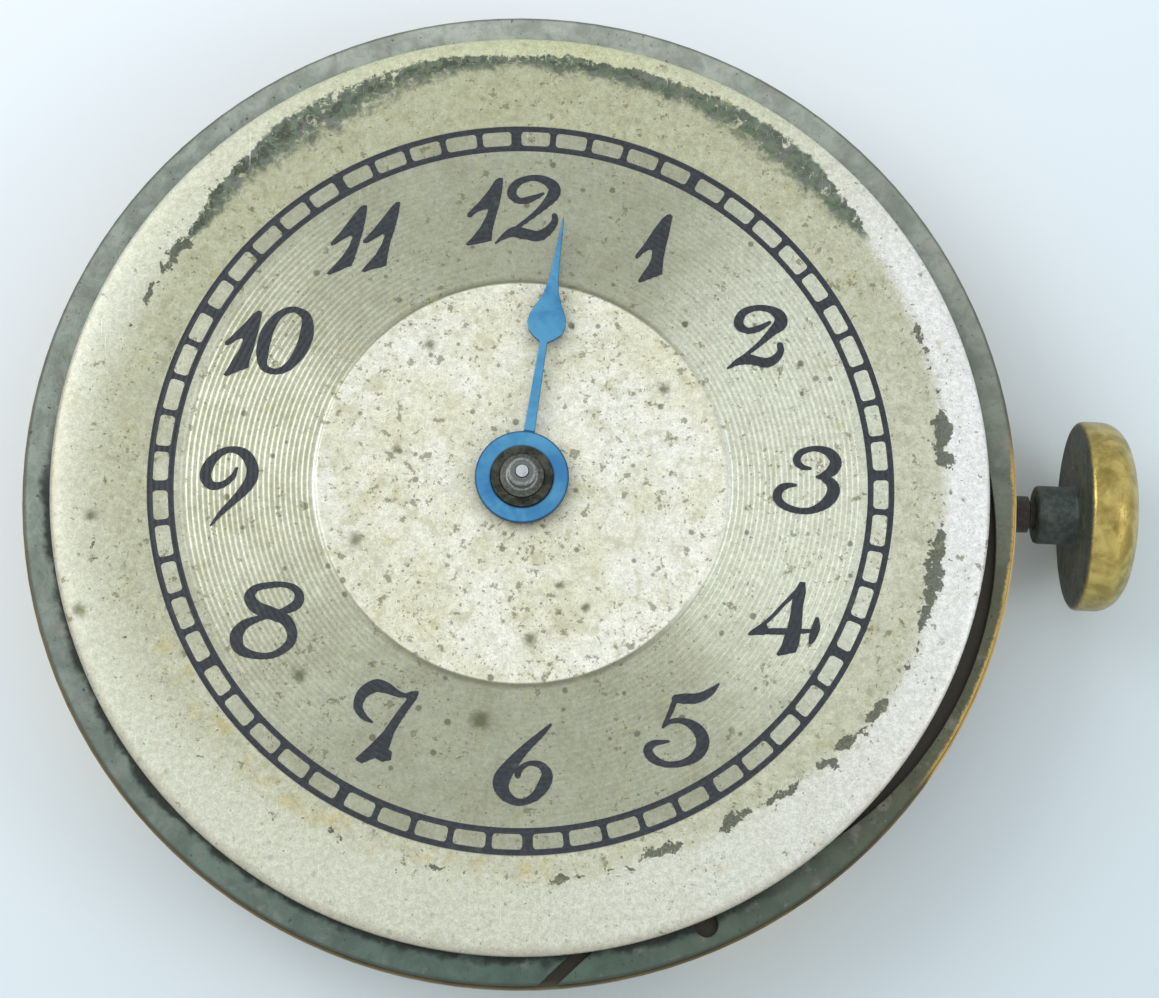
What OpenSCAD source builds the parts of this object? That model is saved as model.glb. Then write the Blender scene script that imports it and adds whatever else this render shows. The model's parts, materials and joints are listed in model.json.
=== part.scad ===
// Open pocket watch movement of 13 lignes with its dial, hour hand, stem and crown.
// Millimetres. The origin is the movement centre on the plane that the dial rests on.
// Z points out through the dial, X along the stem to the crown, Y to the top of the dial.
// Plan sizes are those of a 29.3 mm movement and heights those of a 5 mm one.
// Both grow with movement_d and movement_h, while running clearances keep their size.

/* [Movement] */
// Diameter over the plate flange
movement_d = 29.3; // [26:0.1:35.2]
// Height from the dial seat to the flat tops of the bridges
movement_h = 5; // [4.4:0.1:6]
// Diameter of the part of the plate that enters the case
case_fit_d = 28.4; // [28:0.1:28.8]
// Running clearance on each side of pivots and sliding parts
play = 0.02; // [0.01:0.005:0.03]
// Clearance between still parts that only sit near each other
gap = 0.06; // [0.04:0.01:0.1]

/* [Dial and hand] */
// Dial diameter
dial_d = 27.5; // [26.9:0.1:27.9]
// Dial thickness
dial_t = 0.4; // [0.3:0.05:0.5]
// Turn of the dial against the stem, in degrees
dial_turn = 2.9; // [-5:0.1:5]
// Outer diameter of the minute track, where the raised rim zone starts
track_d = 21.84; // [20:0.1:23]
// Diameter of the plain disc in the middle of the dial
centre_disc_d = 12; // [10:0.1:14]
// Hand length from the centre to the point
hand_l = 8; // [6:0.1:10]
// Diameter of the collar of the hand
hand_collar_d = 2.74; // [2.5:0.02:3.2]
// Width of the pear-shaped swelling of the hand
hand_pear_w = 1.15; // [0.8:0.05:1.4]
// Turn of the hand from the top of the dial, clockwise in degrees
hand_turn = 9.8; // [0:0.1:359]
// Outside diameter of the pipe that carries the hour hand
hour_pipe_d = 1.8; // [1.5:0.02:2]
// Diameter of the seat for the minute hand
minute_seat_d = 0.84; // [0.7:0.02:1]
// Width of the holding ring, whose inner part lies under the edge of the dial
dial_ring_w = 1.1; // [0.95:0.01:1.12]
// Radius at which the worn hollow in the inner edge of the ring is deepest
hollow_reach = 14.2; // [13.9:0.05:14.3]

/* [Crown and stem] */
// Distance from the movement centre to the inner face of the crown
crown_reach = 16.62; // [16.4:0.02:17]
// Crown diameter
crown_d = 5.7; // [4.5:0.1:6]
// Crown thickness over the dome
crown_t = 1.65; // [1.3:0.05:2]
// Diameter of the crown pipe
crown_pipe_d = 1.75; // [1.5:0.05:2.2]
// Length of the crown pipe
crown_pipe_l = 1.2; // [1:0.1:1.5]
// Stem diameter
stem_d = 1.1; // [0.9:0.02:1.2]
// Travel of the crown when it is pulled out
crown_pull = 0.6; // [0.4:0.05:0.6]

/* [Barrel and train] */
// Tooth size of the barrel, as pitch diameter per tooth
barrel_m = 0.154; // [0.15:0.001:0.156]
// Tooth size of the centre wheel
centre_m = 0.13; // [0.126:0.001:0.132]
// Tooth size of the third wheel
third_m = 0.11; // [0.107:0.001:0.112]
// Tooth size of the fourth wheel
fourth_m = 0.09; // [0.088:0.001:0.091]
// Tooth size of the motion work
motion_m = 0.125; // [0.12:0.001:0.128]
// Tooth size of the ratchet and crown wheels
winding_m = 0.2; // [0.195:0.001:0.203]
// Height of the barrel with its cover
barrel_h = 1.4; // [1.2:0.05:1.42]
// Thickness of the mainspring
mainspring_t = 0.16; // [0.1:0.01:0.18]
// Turns of the mainspring
mainspring_turns = 11; // [8:1:12]
// Width of the spokes of the train wheels
spoke_w = 0.42; // [0.3:0.02:0.6]

/* [Escapement and balance] */
// Diameter of the escape wheel
escape_d = 5; // [4.8:0.05:5.1]
// Length of the lever from its arbor to the impulse jewel
lever_l = 2.29; // [2.2:0.01:2.4]
// Distance of the impulse jewel from the balance axis
impulse_r = 0.51; // [0.45:0.01:0.56]
// Diameter of the impulse jewel
impulse_d = 0.26; // [0.2:0.01:0.3]
// Outside diameter of the balance rim
balance_d = 8.8; // [8:0.1:9]
// Width of the balance rim
balance_rim_w = 0.5; // [0.4:0.05:0.6]
// Number of balance screws on each half of the rim
screws_per_half = 7; // [5:1:8]
// Radius of the outermost coil of the hairspring
hairspring_r = 2.1; // [1.9:0.05:2.15]
// Turns of the hairspring
hairspring_turns = 9; // [7:1:10]
// Thickness of the hairspring
hairspring_t = 0.05; // [0.04:0.005:0.06]

/* [Plates and fasteners] */
// Diameter of the heads of the bridge screws
screw_head_d = 1.5; // [1.2:0.05:1.6]
// Diameter of the shanks of the bridge screws
screw_shank_d = 0.8; // [0.6:0.05:0.9]
// Diameter of the heads of the small screws
small_head_d = 0.9; // [0.8:0.05:1]
// Diameter of the shanks of the small screws
small_shank_d = 0.45; // [0.35:0.05:0.5]
// Diameter of the jewels
jewel_d = 1.1; // [0.9:0.05:1.2]
// Diameter of the train pivots
pivot_d = 0.18; // [0.14:0.01:0.22]

/* [Hidden] */
$fn = 96;
u = movement_d / 29.3;
v = movement_h / 5;
// Scale of the round parts that lie along the stem, between the plate and the bridges
upright = min(u, v);
steel = [0.62, 0.64, 0.67];
dark_steel = [0.25, 0.26, 0.28];
gilt = [0.83, 0.69, 0.4];
brass = [0.8, 0.66, 0.32];
nickel = [0.76, 0.75, 0.7];
silvered = [0.85, 0.83, 0.76];
verdigris = [0.4, 0.45, 0.41];
blue = [0.1, 0.3, 0.6];
ruby = [0.75, 0.08, 0.22];
copper = [0.72, 0.42, 0.28];

// Levels on the dial side
seat_edge = -0.4 * v;
flange_bottom = -0.95 * v;
motion_floor = -0.85 * v;
keyless_floor = -1.15 * v;
cover_floor = -0.45 * v;
lever_floor = -0.8 * v;
stem_z = -1.85 * v;

// Levels on the bridge side
plate_back = -2 * v;
barrel_floor = -1.4 * v;
pinion_floor = -1.35 * v;
escape_floor = -1.6 * v;
barrel_bottom = barrel_floor - 0.05;
barrel_top = barrel_bottom - barrel_h * v;
third_z = -2.28 * v;
fourth_z = -2.8 * v;
centre_z = -3.15 * v;
escape_z = -2.25 * v;
fork_z = -2.3 * v;
bridge_under = -3.5 * v;
train_under = -3.95 * v;
winding_floor = -4.15 * v;
wheel_top = -4.75 * v;
ratchet_seat = wheel_top + 0.06 * v;
bridge_top = -5 * v;
rim_top = -3.85 * v;
rim_under = -3.4 * v;
cock_under = -4.15 * v;
cock_top = -4.72 * v;
regulator_top = -4.9 * v;
cap_top = -4.97 * v;

// Plan radii
flange_r = movement_d / 2;
fit_r = case_fit_d * u / 2;
seat_r = 13.4 * u;
bridge_r = 13.75 * u;
dial_r = dial_d * u / 2;
ring_outer = flange_r - 0.1 * u;
ring_inner = ring_outer - dial_ring_w * u;
pipe_r = hour_pipe_d * u / 2;
cannon_r = pipe_r - 0.26 * u;
centre_r = 0.265 * u;
stem_r = stem_d * upright / 2;
stem_pivot_r = 0.22 * upright;
stem_groove_r = 0.36 * upright;
stem_neck_r = 0.42 * upright;
crown_x = crown_reach * u;
pull = crown_pull * u;

// Tooth counts
barrel_n = 80;
centre_pinion_n = 11;
centre_n = 80;
third_pinion_n = 10;
third_n = 75;
fourth_pinion_n = 10;
fourth_n = 80;
escape_pinion_n = 8;
escape_n = 15;
cannon_n = 12;
minute_n = 36;
minute_pinion_n = 10;
hour_n = 40;
setting_n = 22;
intermediate_n = 22;
crown_wheel_n = 26;
ratchet_n = 48;
winding_pinion_n = 16;

bm = barrel_m * u;
cm = centre_m * u;
tm = third_m * u;
qm = fourth_m * u;
mm = motion_m * u;
hm = mesh_at(mm, cannon_n, minute_n) * 2 / (minute_pinion_n + hour_n);
wm = winding_m * u;

function at(r, a) = [r * cos(a), r * sin(a)];
function bearing(a, b) = atan2(b[1] - a[1], b[0] - a[0]);
function mesh_at(m, n1, n2) = m * (n1 + n2) / 2;
// The point at ra from a and rb from b, left of the way from a to b
function meet(a, b, ra, rb) =
    let (d = norm(b - a), e = (b - a) / d, x = (d * d + ra * ra - rb * rb) / (2 * d))
    a + x * e + sqrt(ra * ra - x * x) * [-e[1], e[0]];
// Turn of a wheel that meshes with one turned by phase, at the bearing way from it
function mate(phase, n1, n2, way) = way + 180 + 180 / n2 - (phase - way) * n1 / n2;

// Axes in plan
middle = [0, 0];
crown_wheel_at = [8.45 * u, 0];
barrel_at = meet(middle, crown_wheel_at, mesh_at(bm, barrel_n, centre_pinion_n),
    mesh_at(wm, ratchet_n, crown_wheel_n));
third_at = at(mesh_at(cm, centre_n, third_pinion_n), 172);
fourth_at = third_at + at(mesh_at(tm, third_n, fourth_pinion_n), 235);
escape_at = fourth_at + at(mesh_at(qm, fourth_n, escape_pinion_n), -62);
escape_r = escape_d * u / 2;
lever_way = -14;
fork_at = escape_at + at(escape_r / cos(30), lever_way);
balance_at = fork_at + at((lever_l + impulse_r) * u, lever_way);
minute_at = at(mesh_at(mm, cannon_n, minute_n), -70);
setting_r = mm * setting_n / 2;
clutch_x = 8.7 * u;
setting_at = [clutch_x - pull * 0.92 - setting_r - mm - 0.04, 0];
intermediate_at = meet(setting_at, minute_at, mesh_at(mm, setting_n, intermediate_n),
    mesh_at(mm, intermediate_n, minute_n));
click_at = [-0.95, 9.41] * u;

// Turns of the toothed wheels at rest
centre_pinion_turn = mate(0, barrel_n, centre_pinion_n, bearing(barrel_at, middle));
third_pinion_turn = mate(0, centre_n, third_pinion_n, bearing(middle, third_at));
fourth_pinion_turn = mate(0, third_n, fourth_pinion_n, bearing(third_at, fourth_at));
escape_pinion_turn = mate(0, fourth_n, escape_pinion_n, bearing(fourth_at, escape_at));
minute_turn = mate(0, cannon_n, minute_n, bearing(middle, minute_at));
intermediate_turn = mate(minute_turn, minute_n, intermediate_n, bearing(minute_at, intermediate_at));
setting_turn = mate(intermediate_turn, intermediate_n, setting_n, bearing(intermediate_at, setting_at));
hour_turn = mate(0, minute_pinion_n, hour_n, bearing(minute_at, middle));
ratchet_turn = mate(0, crown_wheel_n, ratchet_n, bearing(crown_wheel_at, barrel_at));

// Outer reach of the wheels
barrel_reach = bm * barrel_n / 2 + bm * 1.1;
centre_reach = cm * centre_n / 2 + cm * 1.1;
third_reach = tm * third_n / 2 + tm * 1.1;
fourth_reach = qm * fourth_n / 2 + qm * 1.1;
ratchet_reach = wm * ratchet_n / 2 + wm * 0.9;
crown_wheel_reach = wm * crown_wheel_n / 2 + wm * 0.9;
hour_reach = hm * hour_n / 2 + hm * 1.1;
minute_reach = mm * minute_n / 2 + mm * 1.1;
setting_reach = setting_r + mm;
intermediate_reach = mm * intermediate_n / 2 + mm;

// Winding parts on the stem
contrate_in = 2.27 * upright;
contrate_out = 2.83 * upright;
contrate_mid = (contrate_in + contrate_out) / 2;
winding_pitch_r = contrate_mid * winding_pinion_n / crown_wheel_n;
winding_tip = winding_pitch_r + 0.17 * upright;
winding_root = winding_pitch_r - 0.19 * upright;
contrate_tip_z = stem_z - winding_pitch_r + 0.12 * upright;
contrate_root_z = stem_z - winding_tip - 0.08 * upright;
contrate_floor = contrate_tip_z + 0.05;
pinion_x = crown_wheel_at[0] + contrate_in;
clutch_r = 1.05 * u;
clutch_neck_r = 0.7 * upright;
dog_x = 10 * u;
dog_l = 0.25 * u;
groove_x = 11.95 * u;
lever_pivot = [groove_x + pull / 2, -2.2 * u];
yoke_pivot = [7.9, -4.9] * u;
yoke_tip = [9.475 * u, 0];
square_w = stem_r * 1.38;

// Balance parts
balance_r = balance_d * u / 2;
balance_reach = balance_r + 0.34 * u;
balance_clear = balance_reach + 0.22 * u;
spring_r = hairspring_r * u;
collet_r = 0.48 * u;
stud_way = 140;
pin_way = 85;
pin_room = 0.035 * u;
stone_r = escape_r + 0.03;

screw_r = screw_shank_d * u / 2;
head_r = screw_head_d * u / 2;
tiny_r = small_shank_d * u / 2;
tiny_head = small_head_d * u / 2;
jewel_r = jewel_d * u / 2;
pivot_r = pivot_d * u / 2;
hole_r = pivot_r + play;

// Bridge screws as [position, seat level, tip level]
barrel_screws = [[-5.4, 11.5] * u, [12, 3.5] * u, [10.75, -2.95] * u];
train_screws = [[-11.3, 5.2] * u, [-10.15, -7.45] * u];
cock_screws = [[6.2, -9.2] * u];
pallet_screws = [fork_at + [0.5, -2.7] * u];
cover_screws = [[6.1, -3.1] * u, [9.75, -5.5] * u];
click_screw = [-4.3, 8.3] * u;
click_hub = click_at;
feet = [for (a = [95, 190, 327]) at(12.55 * u, a + dial_turn)];

// Closed outline of a wheel with ogive teeth and radial flanks
function tooth(n, m, wide, high, deep, k) =
    let (c = 360 * k / n, h = 180 * wide / n, r = m * n / 2)
    [at(r - deep * m, c - h), at(r, c - h), at(r + 0.5 * high * m, c - 0.8 * h),
     at(r + 0.88 * high * m, c - 0.38 * h), at(r + high * m, c),
     at(r + 0.88 * high * m, c + 0.38 * h), at(r + 0.5 * high * m, c + 0.8 * h),
     at(r, c + h), at(r - deep * m, c + h)];

module gear(n, m, wide = 0.46, high = 1.1, deep = 1.35) {
    polygon([for (k = [0:n - 1]) each tooth(n, m, wide, high, deep, k)]);
}

// Leaves of a pinion, narrower than the teeth they meet
module leaves(n, m) {
    gear(n, m, 0.34, 0.8, 1.3);
}

module bar(a, b, w) {
    translate(a) circle(d = w);
    translate(b) circle(d = w);
    translate((a + b) / 2) rotate(bearing(a, b)) square([norm(b - a), w], center = true);
}

// Bar that narrows from width wa at a to width wb at b
module taper(a, b, wa, wb) {
    e = (b - a) / norm(b - a);
    side = [-e[1], e[0]];
    translate(a) circle(d = wa);
    translate(b) circle(d = wb);
    polygon([a + side * wa / 2, a - side * wa / 2, b - side * wb / 2, b + side * wb / 2]);
}

module spokes(rim, hub, count, w) {
    difference() {
        circle(r = rim);
        circle(r = hub);
        for (k = [0:count - 1]) rotate(k * 360 / count) translate([0, -w / 2]) square([rim + 1, w]);
    }
}

// Solid between two levels, given in any order
module slab(z1, z2) {
    translate([0, 0, min(z1, z2)]) linear_extrude(abs(z2 - z1)) children();
}

module rod(r, z1, z2, p = [0, 0]) {
    translate([p[0], p[1], min(z1, z2)]) cylinder(r = r, h = abs(z2 - z1));
}

module rod_x(r, x1, x2) {
    translate([x1, 0, stem_z]) rotate([0, 90, 0]) cylinder(r = r, h = x2 - x1);
}

// Slotted screw whose head stands from the seat level away from the tip
module screw(p, seat, tip, hr, hh, sr) {
    out = seat > tip ? 1 : -1;
    difference() {
        union() {
            rod(sr, seat, tip, p);
            rod(hr, seat, seat + out * hh, p);
        }
        translate([p[0], p[1], seat + out * hh])
            rotate(bearing([0, 0], p) * 2) cube([3 * hr, hr * 0.26, hh * 0.9], center = true);
    }
}

// Arbor with a pinion; steps are [radius, level] pairs from one end to the other
module arbor(p, steps) {
    translate([p[0], p[1], 0]) rotate_extrude()
        polygon([[0, steps[0][1]], each [for (s = steps) [s[0], s[1]]], [0, steps[len(steps) - 1][1]]]);
}

module train_wheel(p, n, m, rim_w, hub_r, bore_r, z, t, count = 5, turn = 0) {
    translate([p[0], p[1], 0]) rotate(turn) slab(z, z + t) difference() {
        gear(n, m);
        spokes(m * n / 2 - 1.35 * m - rim_w, hub_r, count, spoke_w * u);
        circle(r = bore_r);
    }
}

// Outline of the barrel bridge, with the gap to the train bridge on its edge
module barrel_bridge_plan() {
    difference() {
        intersection() {
            circle(r = bridge_r);
            polygon([[15, -3.9], [5.6, -3.9], [4.4, -3], [3.6, -1.6], [1.5, 1.2], [0, 2.7], [-1.65, 3.95],
                     [-6, 6.5], [-12, 9.9], [-12, 16], [15, 16]] * u);
        }
        circle(r = 2.65 * u);
    }
}

module train_bridge_plan() {
    difference() {
        union() {
            circle(r = 2.5 * u);
            intersection() {
                circle(r = bridge_r);
                polygon([[0, 2.5], [-1.75, 3.75], [-6.1, 6.28], [-16, 11.9], [-16, -8.4],
                         [-5, -8.4], [0, -2.5]] * u);
            }
        }
        translate(balance_at) circle(r = balance_clear);
    }
}

module mainplate() {
    color(gilt) difference() {
        union() {
            rod(fit_r, plate_back, seat_edge);
            rod(flange_r, flange_bottom, seat_edge);
            rod(seat_r, seat_edge - 0.1, 0);
        }
        // Dial side
        slab(motion_floor, 1) {
            circle(r = hour_reach + 0.25 * u);
            translate(minute_at) circle(r = minute_reach + 0.14 * u);
        }
        slab(keyless_floor, 1) {
            translate(setting_at) circle(r = setting_reach + 0.12 * u);
            translate(intermediate_at) circle(r = intermediate_reach + 0.12 * u);
            yoke_room();
        }
        slab(lever_floor, 1) lever_room();
        slab(stem_z, 1) bar([groove_x, 0], [groove_x + pull, 0], 0.44 * u);
        slab(cover_floor, 1) cover_plan(gap);
        for (p = cover_screws) rod(tiny_r, cover_floor + 0.1, -1.4 * v, p);
        rod(tiny_r, lever_floor + 0.1, plate_back - 1, lever_pivot);
        for (p = feet) rod(0.4 * u + play, 1, -1.55 * v, p);
        for (p = feet) foot_screw(p, play, 1);
        // Windows for the clutch and the winding pinion
        slab(plate_back - 1, 1) {
            translate([7.98 * u, -1.2 * u]) square([2.4 * u, 2.4 * u]);
            translate([10.15 * u, -winding_tip - 0.1 * u])
                square([1.3 * u, 2 * winding_tip + 0.2 * u]);
        }
        rod_x(stem_r + play, 11.4 * u, 16 * u);
        rod_x(stem_pivot_r + play, 6.8 * u, 8.2 * u);
        // Bridge side
        slab(plate_back - 1, barrel_floor) translate(barrel_at) circle(r = barrel_reach + 0.15 * u);
        slab(plate_back - 1, pinion_floor) circle(r = 1.2 * u);
        slab(plate_back - 1, escape_floor) {
            translate(escape_at) circle(r = escape_r + 0.3 * u);
            translate(fork_at) circle(r = 1.95 * u);
            translate(balance_at) circle(r = 1.3 * u);
            bar(fork_at, balance_at, 1.6 * u);
        }
        rod(0.6 * u, 1, -3 * v);
        rod(0.55 * u + play, barrel_floor - 1, -0.72 * v, barrel_at);
        for (j = plate_holes) rod(jewel_r, j[1] - 0.001, j[1] + 0.35 * v, j[0]);
        for (j = plate_holes) rod(jewel_r * 0.5, j[1], 1, j[0]);
        rod(1.35 * u, -0.75 * v, 1, balance_at);
        for (b = all_bridge_screws) rod(screw_r, plate_back - 1, plate_back + b[1], b[0]);
        for (p = pallet_screws) rod(tiny_r, plate_back - 1, -1.1 * v, p);
    }
    // Posts for the setting wheels and the yoke
    color(gilt) {
        rod(0.3 * u, keyless_floor - 0.1, -0.6 * v, setting_at);
        rod(0.3 * u, keyless_floor - 0.1, -0.5 * v, intermediate_at);
        rod(0.35 * u, keyless_floor - 0.1, -0.5 * v, yoke_pivot);
        rod(0.25 * u, motion_floor - 0.1, -0.12 * v, minute_at);
    }
}

// Jewelled holes of the plate as [position, back level]
plate_holes = [[third_at, plate_back], [fourth_at, plate_back], [escape_at, escape_floor],
    [fork_at, escape_floor], [balance_at, escape_floor]];
// Main screws as [position, depth into the plate]
all_bridge_screws = [for (p = barrel_screws) [p, 0.9 * v], for (p = train_screws) [p, 0.9 * v],
    for (p = cock_screws) [p, 0.9 * v]];

module dial_ring() {
    color(verdigris) slab(seat_edge, -0.02) difference() {
        circle(r = ring_outer);
        circle(r = ring_inner);
        // Hollow that leaves a dark crescent beside the dial, below the stem
        rotate(-21) translate([hollow_reach * u - 10.8 * u, 0]) circle(r = 10.8 * u);
        // Oblique cut near the bottom of the dial
        rotate(-83.2) translate([14.15 * u, 0]) rotate(-52) square([4 * u, 0.36 * u], center = true);
        // Small notch in the inner edge
        rotate(-65.8) bar([13.4 * u, 0], [13.9 * u, 0], 0.66 * u);
    }
}

module dial() {
    t = dial_t * v;
    tr = track_d * u / 2;
    cr = centre_disc_d * u / 2;
    color(silvered) rotate_extrude() polygon([
        [pipe_r + 0.35 * u, 0], [dial_r - 0.12 * u, 0], [dial_r, 0.1 * v], [dial_r, t - 0.14 * v],
        [dial_r - 0.14 * u, t - 0.03 * v], [dial_r - 1 * u, t + 0.03 * v], [dial_r - 2 * u, t + 0.02 * v],
        [tr + 0.15 * u, t - 0.04 * v], [tr, t - 0.06 * v], [cr + 0.05 * u, t - 0.06 * v],
        [cr, t - 0.03 * v], [pipe_r + 0.35 * u, t - 0.03 * v]]);
}

module dial_feet() {
    color(copper) for (p = feet) rod(0.4 * u, 0, -1.5 * v, p);
}

// Radial screw through the plate edge that grips a dial foot
module foot_screw(p, extra, long) {
    r = norm(p);
    translate([p[0], p[1], -1.28 * v]) rotate(bearing([0, 0], p)) rotate([0, 90, 0]) {
        translate([0, 0, 0.4 * u]) cylinder(r = 0.2 * u + extra, h = 0.7 * u);
        translate([0, 0, 1 * u]) cylinder(r = 0.3 * u + extra, h = fit_r - r - 1.1 * u + long);
    }
}

module dial_foot_screws() {
    color(steel) for (p = feet) difference() {
        foot_screw(p, 0, 0);
        translate([p[0], p[1], -1.28 * v]) rotate(bearing([0, 0], p))
            translate([fit_r - norm(p), 0, 0]) cube([0.36, 0.12, 1] * u, center = true);
    }
}

module hour_hand() {
    a = 90 + dial_turn - hand_turn;
    k = hand_l * u / 8;
    w = hand_pear_w * u / 2;
    color(blue) slab(0.68 * v, 0.84 * v) difference() {
        union() {
            circle(d = hand_collar_d * u);
            rotate(a) {
                polygon([[1 * u, -0.17 * u], [4.2 * k, -0.11 * u], [4.2 * k, 0.11 * u], [1 * u, 0.17 * u]]);
                polygon([[4.1 * k, -0.1 * u], [4.22 * k, -0.5 * w], [4.4 * k, -0.85 * w],
                    [4.68 * k, -w], [4.95 * k, -0.92 * w], [5.3 * k, -0.62 * w], [5.65 * k, -0.38 * w],
                    [6.1 * k, -0.24 * w], [6.8 * k, -0.15 * w], [7.95 * k, -0.04 * w], [8 * k, 0],
                    [7.95 * k, 0.04 * w], [6.8 * k, 0.15 * w], [6.1 * k, 0.24 * w], [5.65 * k, 0.38 * w],
                    [5.3 * k, 0.62 * w], [4.95 * k, 0.92 * w], [4.68 * k, w], [4.4 * k, 0.85 * w],
                    [4.22 * k, 0.5 * w], [4.1 * k, 0.1 * u]]);
            }
        }
        circle(r = pipe_r);
    }
}

module cannon_pinion() {
    seat = minute_seat_d * u / 2;
    color(steel) difference() {
        union() {
            slab(motion_floor + 0.04, -0.42 * v) leaves(cannon_n, mm);
            arbor([0, 0], [[cannon_r, motion_floor + 0.04], [cannon_r, 1.02 * v], [seat, 1.08 * v],
                [seat, 1.5 * v], [seat - 0.06 * u, 1.56 * v]]);
        }
        rod(centre_r, -2, 1.44 * v);
        rod(0.2 * u, 1.4 * v, 2);
    }
}

module hour_wheel() {
    color(brass) difference() {
        union() {
            slab(-0.4 * v, -0.2 * v) rotate(hour_turn) gear(hour_n, hm, 0.46, 1.1, 1.35);
            rod(pipe_r, -0.4 * v, 0.95 * v);
        }
        rod(cannon_r + play, -1, 2);
    }
}

module minute_wheel() {
    color(brass) train_wheel(minute_at, minute_n, mm, 0.3 * u, 0.95 * u, 0.45 * u, -0.79 * v, 0.2 * v, 4,
        minute_turn);
}

module minute_pinion() {
    color(steel) translate([minute_at[0], minute_at[1], 0]) difference() {
        union() {
            slab(-0.58 * v, -0.16 * v) leaves(minute_pinion_n, hm);
            rod(0.45 * u, -0.8 * v, -0.58 * v);
        }
        rod(0.25 * u + play, -2, 1);
    }
}

module dial_washer() {
    color(brass) translate([0, 0, -0.17 * v]) rotate_extrude()
        polygon([[pipe_r + 0.1 * u, 0], [2 * u, 0], [2 * u, 0.05 * v], [pipe_r + 0.1 * u, 0.14 * v]]);
}

module setting_wheel() {
    color(steel) translate([setting_at[0], setting_at[1], 0]) slab(keyless_floor + 0.05, -0.85 * v)
        rotate(setting_turn) difference() {
            gear(setting_n, mm, 0.42, 0.95, 1.3);
            circle(r = 0.3 * u + play);
        }
}

module intermediate_wheel() {
    color(steel) translate([intermediate_at[0], intermediate_at[1], 0])
        slab(keyless_floor + 0.05, -0.55 * v) rotate(intermediate_turn) difference() {
            gear(intermediate_n, mm, 0.42, 0.95, 1.3);
            circle(r = 0.3 * u + play);
        }
}

module winding_stem() {
    hx = groove_x;
    w = 0.19 * u;
    neck = crown_x - (crown_pipe_l + 0.2) * u;
    color(steel) {
        difference() {
            translate([0, 0, stem_z]) rotate([0, 90, 0]) rotate_extrude() polygon([
                [0, 6.9 * u], [stem_pivot_r - 0.08 * upright, 6.9 * u], [stem_pivot_r, 7 * u],
                [stem_pivot_r, 8.1 * u], [stem_r, 8.12 * u], [stem_r, hx - w], [stem_groove_r, hx - w],
                [stem_groove_r, hx + w], [stem_r, hx + w], [stem_r, neck], [stem_neck_r, neck + 0.05 * u],
                [stem_neck_r, crown_x + 0.38 * u], [0, crown_x + 0.38 * u]]);
            for (k = [0:3]) translate([8 * u, 0, stem_z]) rotate([k * 90, 0, 0])
                translate([0, square_w / 2, -2]) cube([2.15 * u, 2, 4]);
        }
    }
}

// Crown with a flat inner face, a straight band and a dome that runs out of it
module crown() {
    x = crown_x;
    r = crown_d * u / 2;
    t = crown_t * u;
    pipe = crown_pipe_d * u / 2;
    back = x - crown_pipe_l * u;
    color(brass) translate([0, 0, stem_z]) rotate([0, 90, 0]) difference() {
        rotate_extrude() polygon([
            [0, back], [pipe - 0.1 * u, back], [pipe, back + 0.1 * u], [pipe, x - 0.08 * u],
            [pipe + 0.08 * u, x], [r - 0.14 * u, x], [r - 0.04 * u, x + 0.04 * u], [r, x + 0.14 * u],
            for (a = [0:7.5:90]) [r * pow(cos(a), 0.45), x + 0.4 * t + 0.6 * t * sin(a)]]);
        translate([0, 0, x - 2 * u]) cylinder(r = stem_neck_r, h = 2.5 * u);
    }
}

module dogs(count, a, r1, r2, x, l) {
    for (k = [0:count - 1]) translate([x, 0, stem_z]) rotate([k * 360 / count, 0, 0]) rotate([0, 90, 0])
        rotate_extrude(angle = a) translate([r1, 0]) square([r2 - r1, l]);
}

module winding_pinion() {
    x0 = dog_x + dog_l + 0.05 * u;
    color(steel) difference() {
        union() {
            rod_x(clutch_r, x0, pinion_x);
            dogs(8, 18, 0.62 * u, clutch_r, dog_x + 0.05 * u, dog_l);
            translate([pinion_x - 0.02 * u, 0, stem_z]) rotate([0, 90, 0])
                linear_extrude(contrate_out - contrate_in + 0.04 * u) rotate(360 / winding_pinion_n / 2)
                winding_leaves();
            rod_x(0.9 * u, pinion_x + (contrate_out - contrate_in) / 2, 11.4 * u);
        }
        rod_x(stem_r + play, 9 * u, 12 * u);
    }
}

module winding_leaves() {
    n = winding_pinion_n;
    p = 360 / n;
    polygon([for (k = [0:n - 1]) each [at(winding_root, (k - 0.24) * p), at(winding_pitch_r, (k - 0.2) * p),
        at(winding_tip, (k - 0.08) * p), at(winding_tip, (k + 0.08) * p),
        at(winding_pitch_r, (k + 0.2) * p), at(winding_root, (k + 0.24) * p)]]);
}

module clutch_wheel() {
    color(steel) difference() {
        union() {
            rod_x(clutch_r, clutch_x + 0.25 * u, 9.25 * u);
            rod_x(clutch_neck_r, 9.2 * u, 9.75 * u);
            rod_x(clutch_r, 9.7 * u, dog_x);
            dogs(12, 12, 0.68 * u, clutch_r, clutch_x, 0.26 * u);
            rotate_about_stem(22.5) dogs(8, 18, 0.62 * u, clutch_r, dog_x - 0.01, dog_l);
        }
        translate([8 * u, 0, stem_z]) cube([6 * u, square_w + 2 * play, square_w + 2 * play], center = true);
    }
}

module rotate_about_stem(a) {
    translate([0, 0, stem_z]) rotate([a, 0, 0]) translate([0, 0, -stem_z]) children();
}

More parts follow.
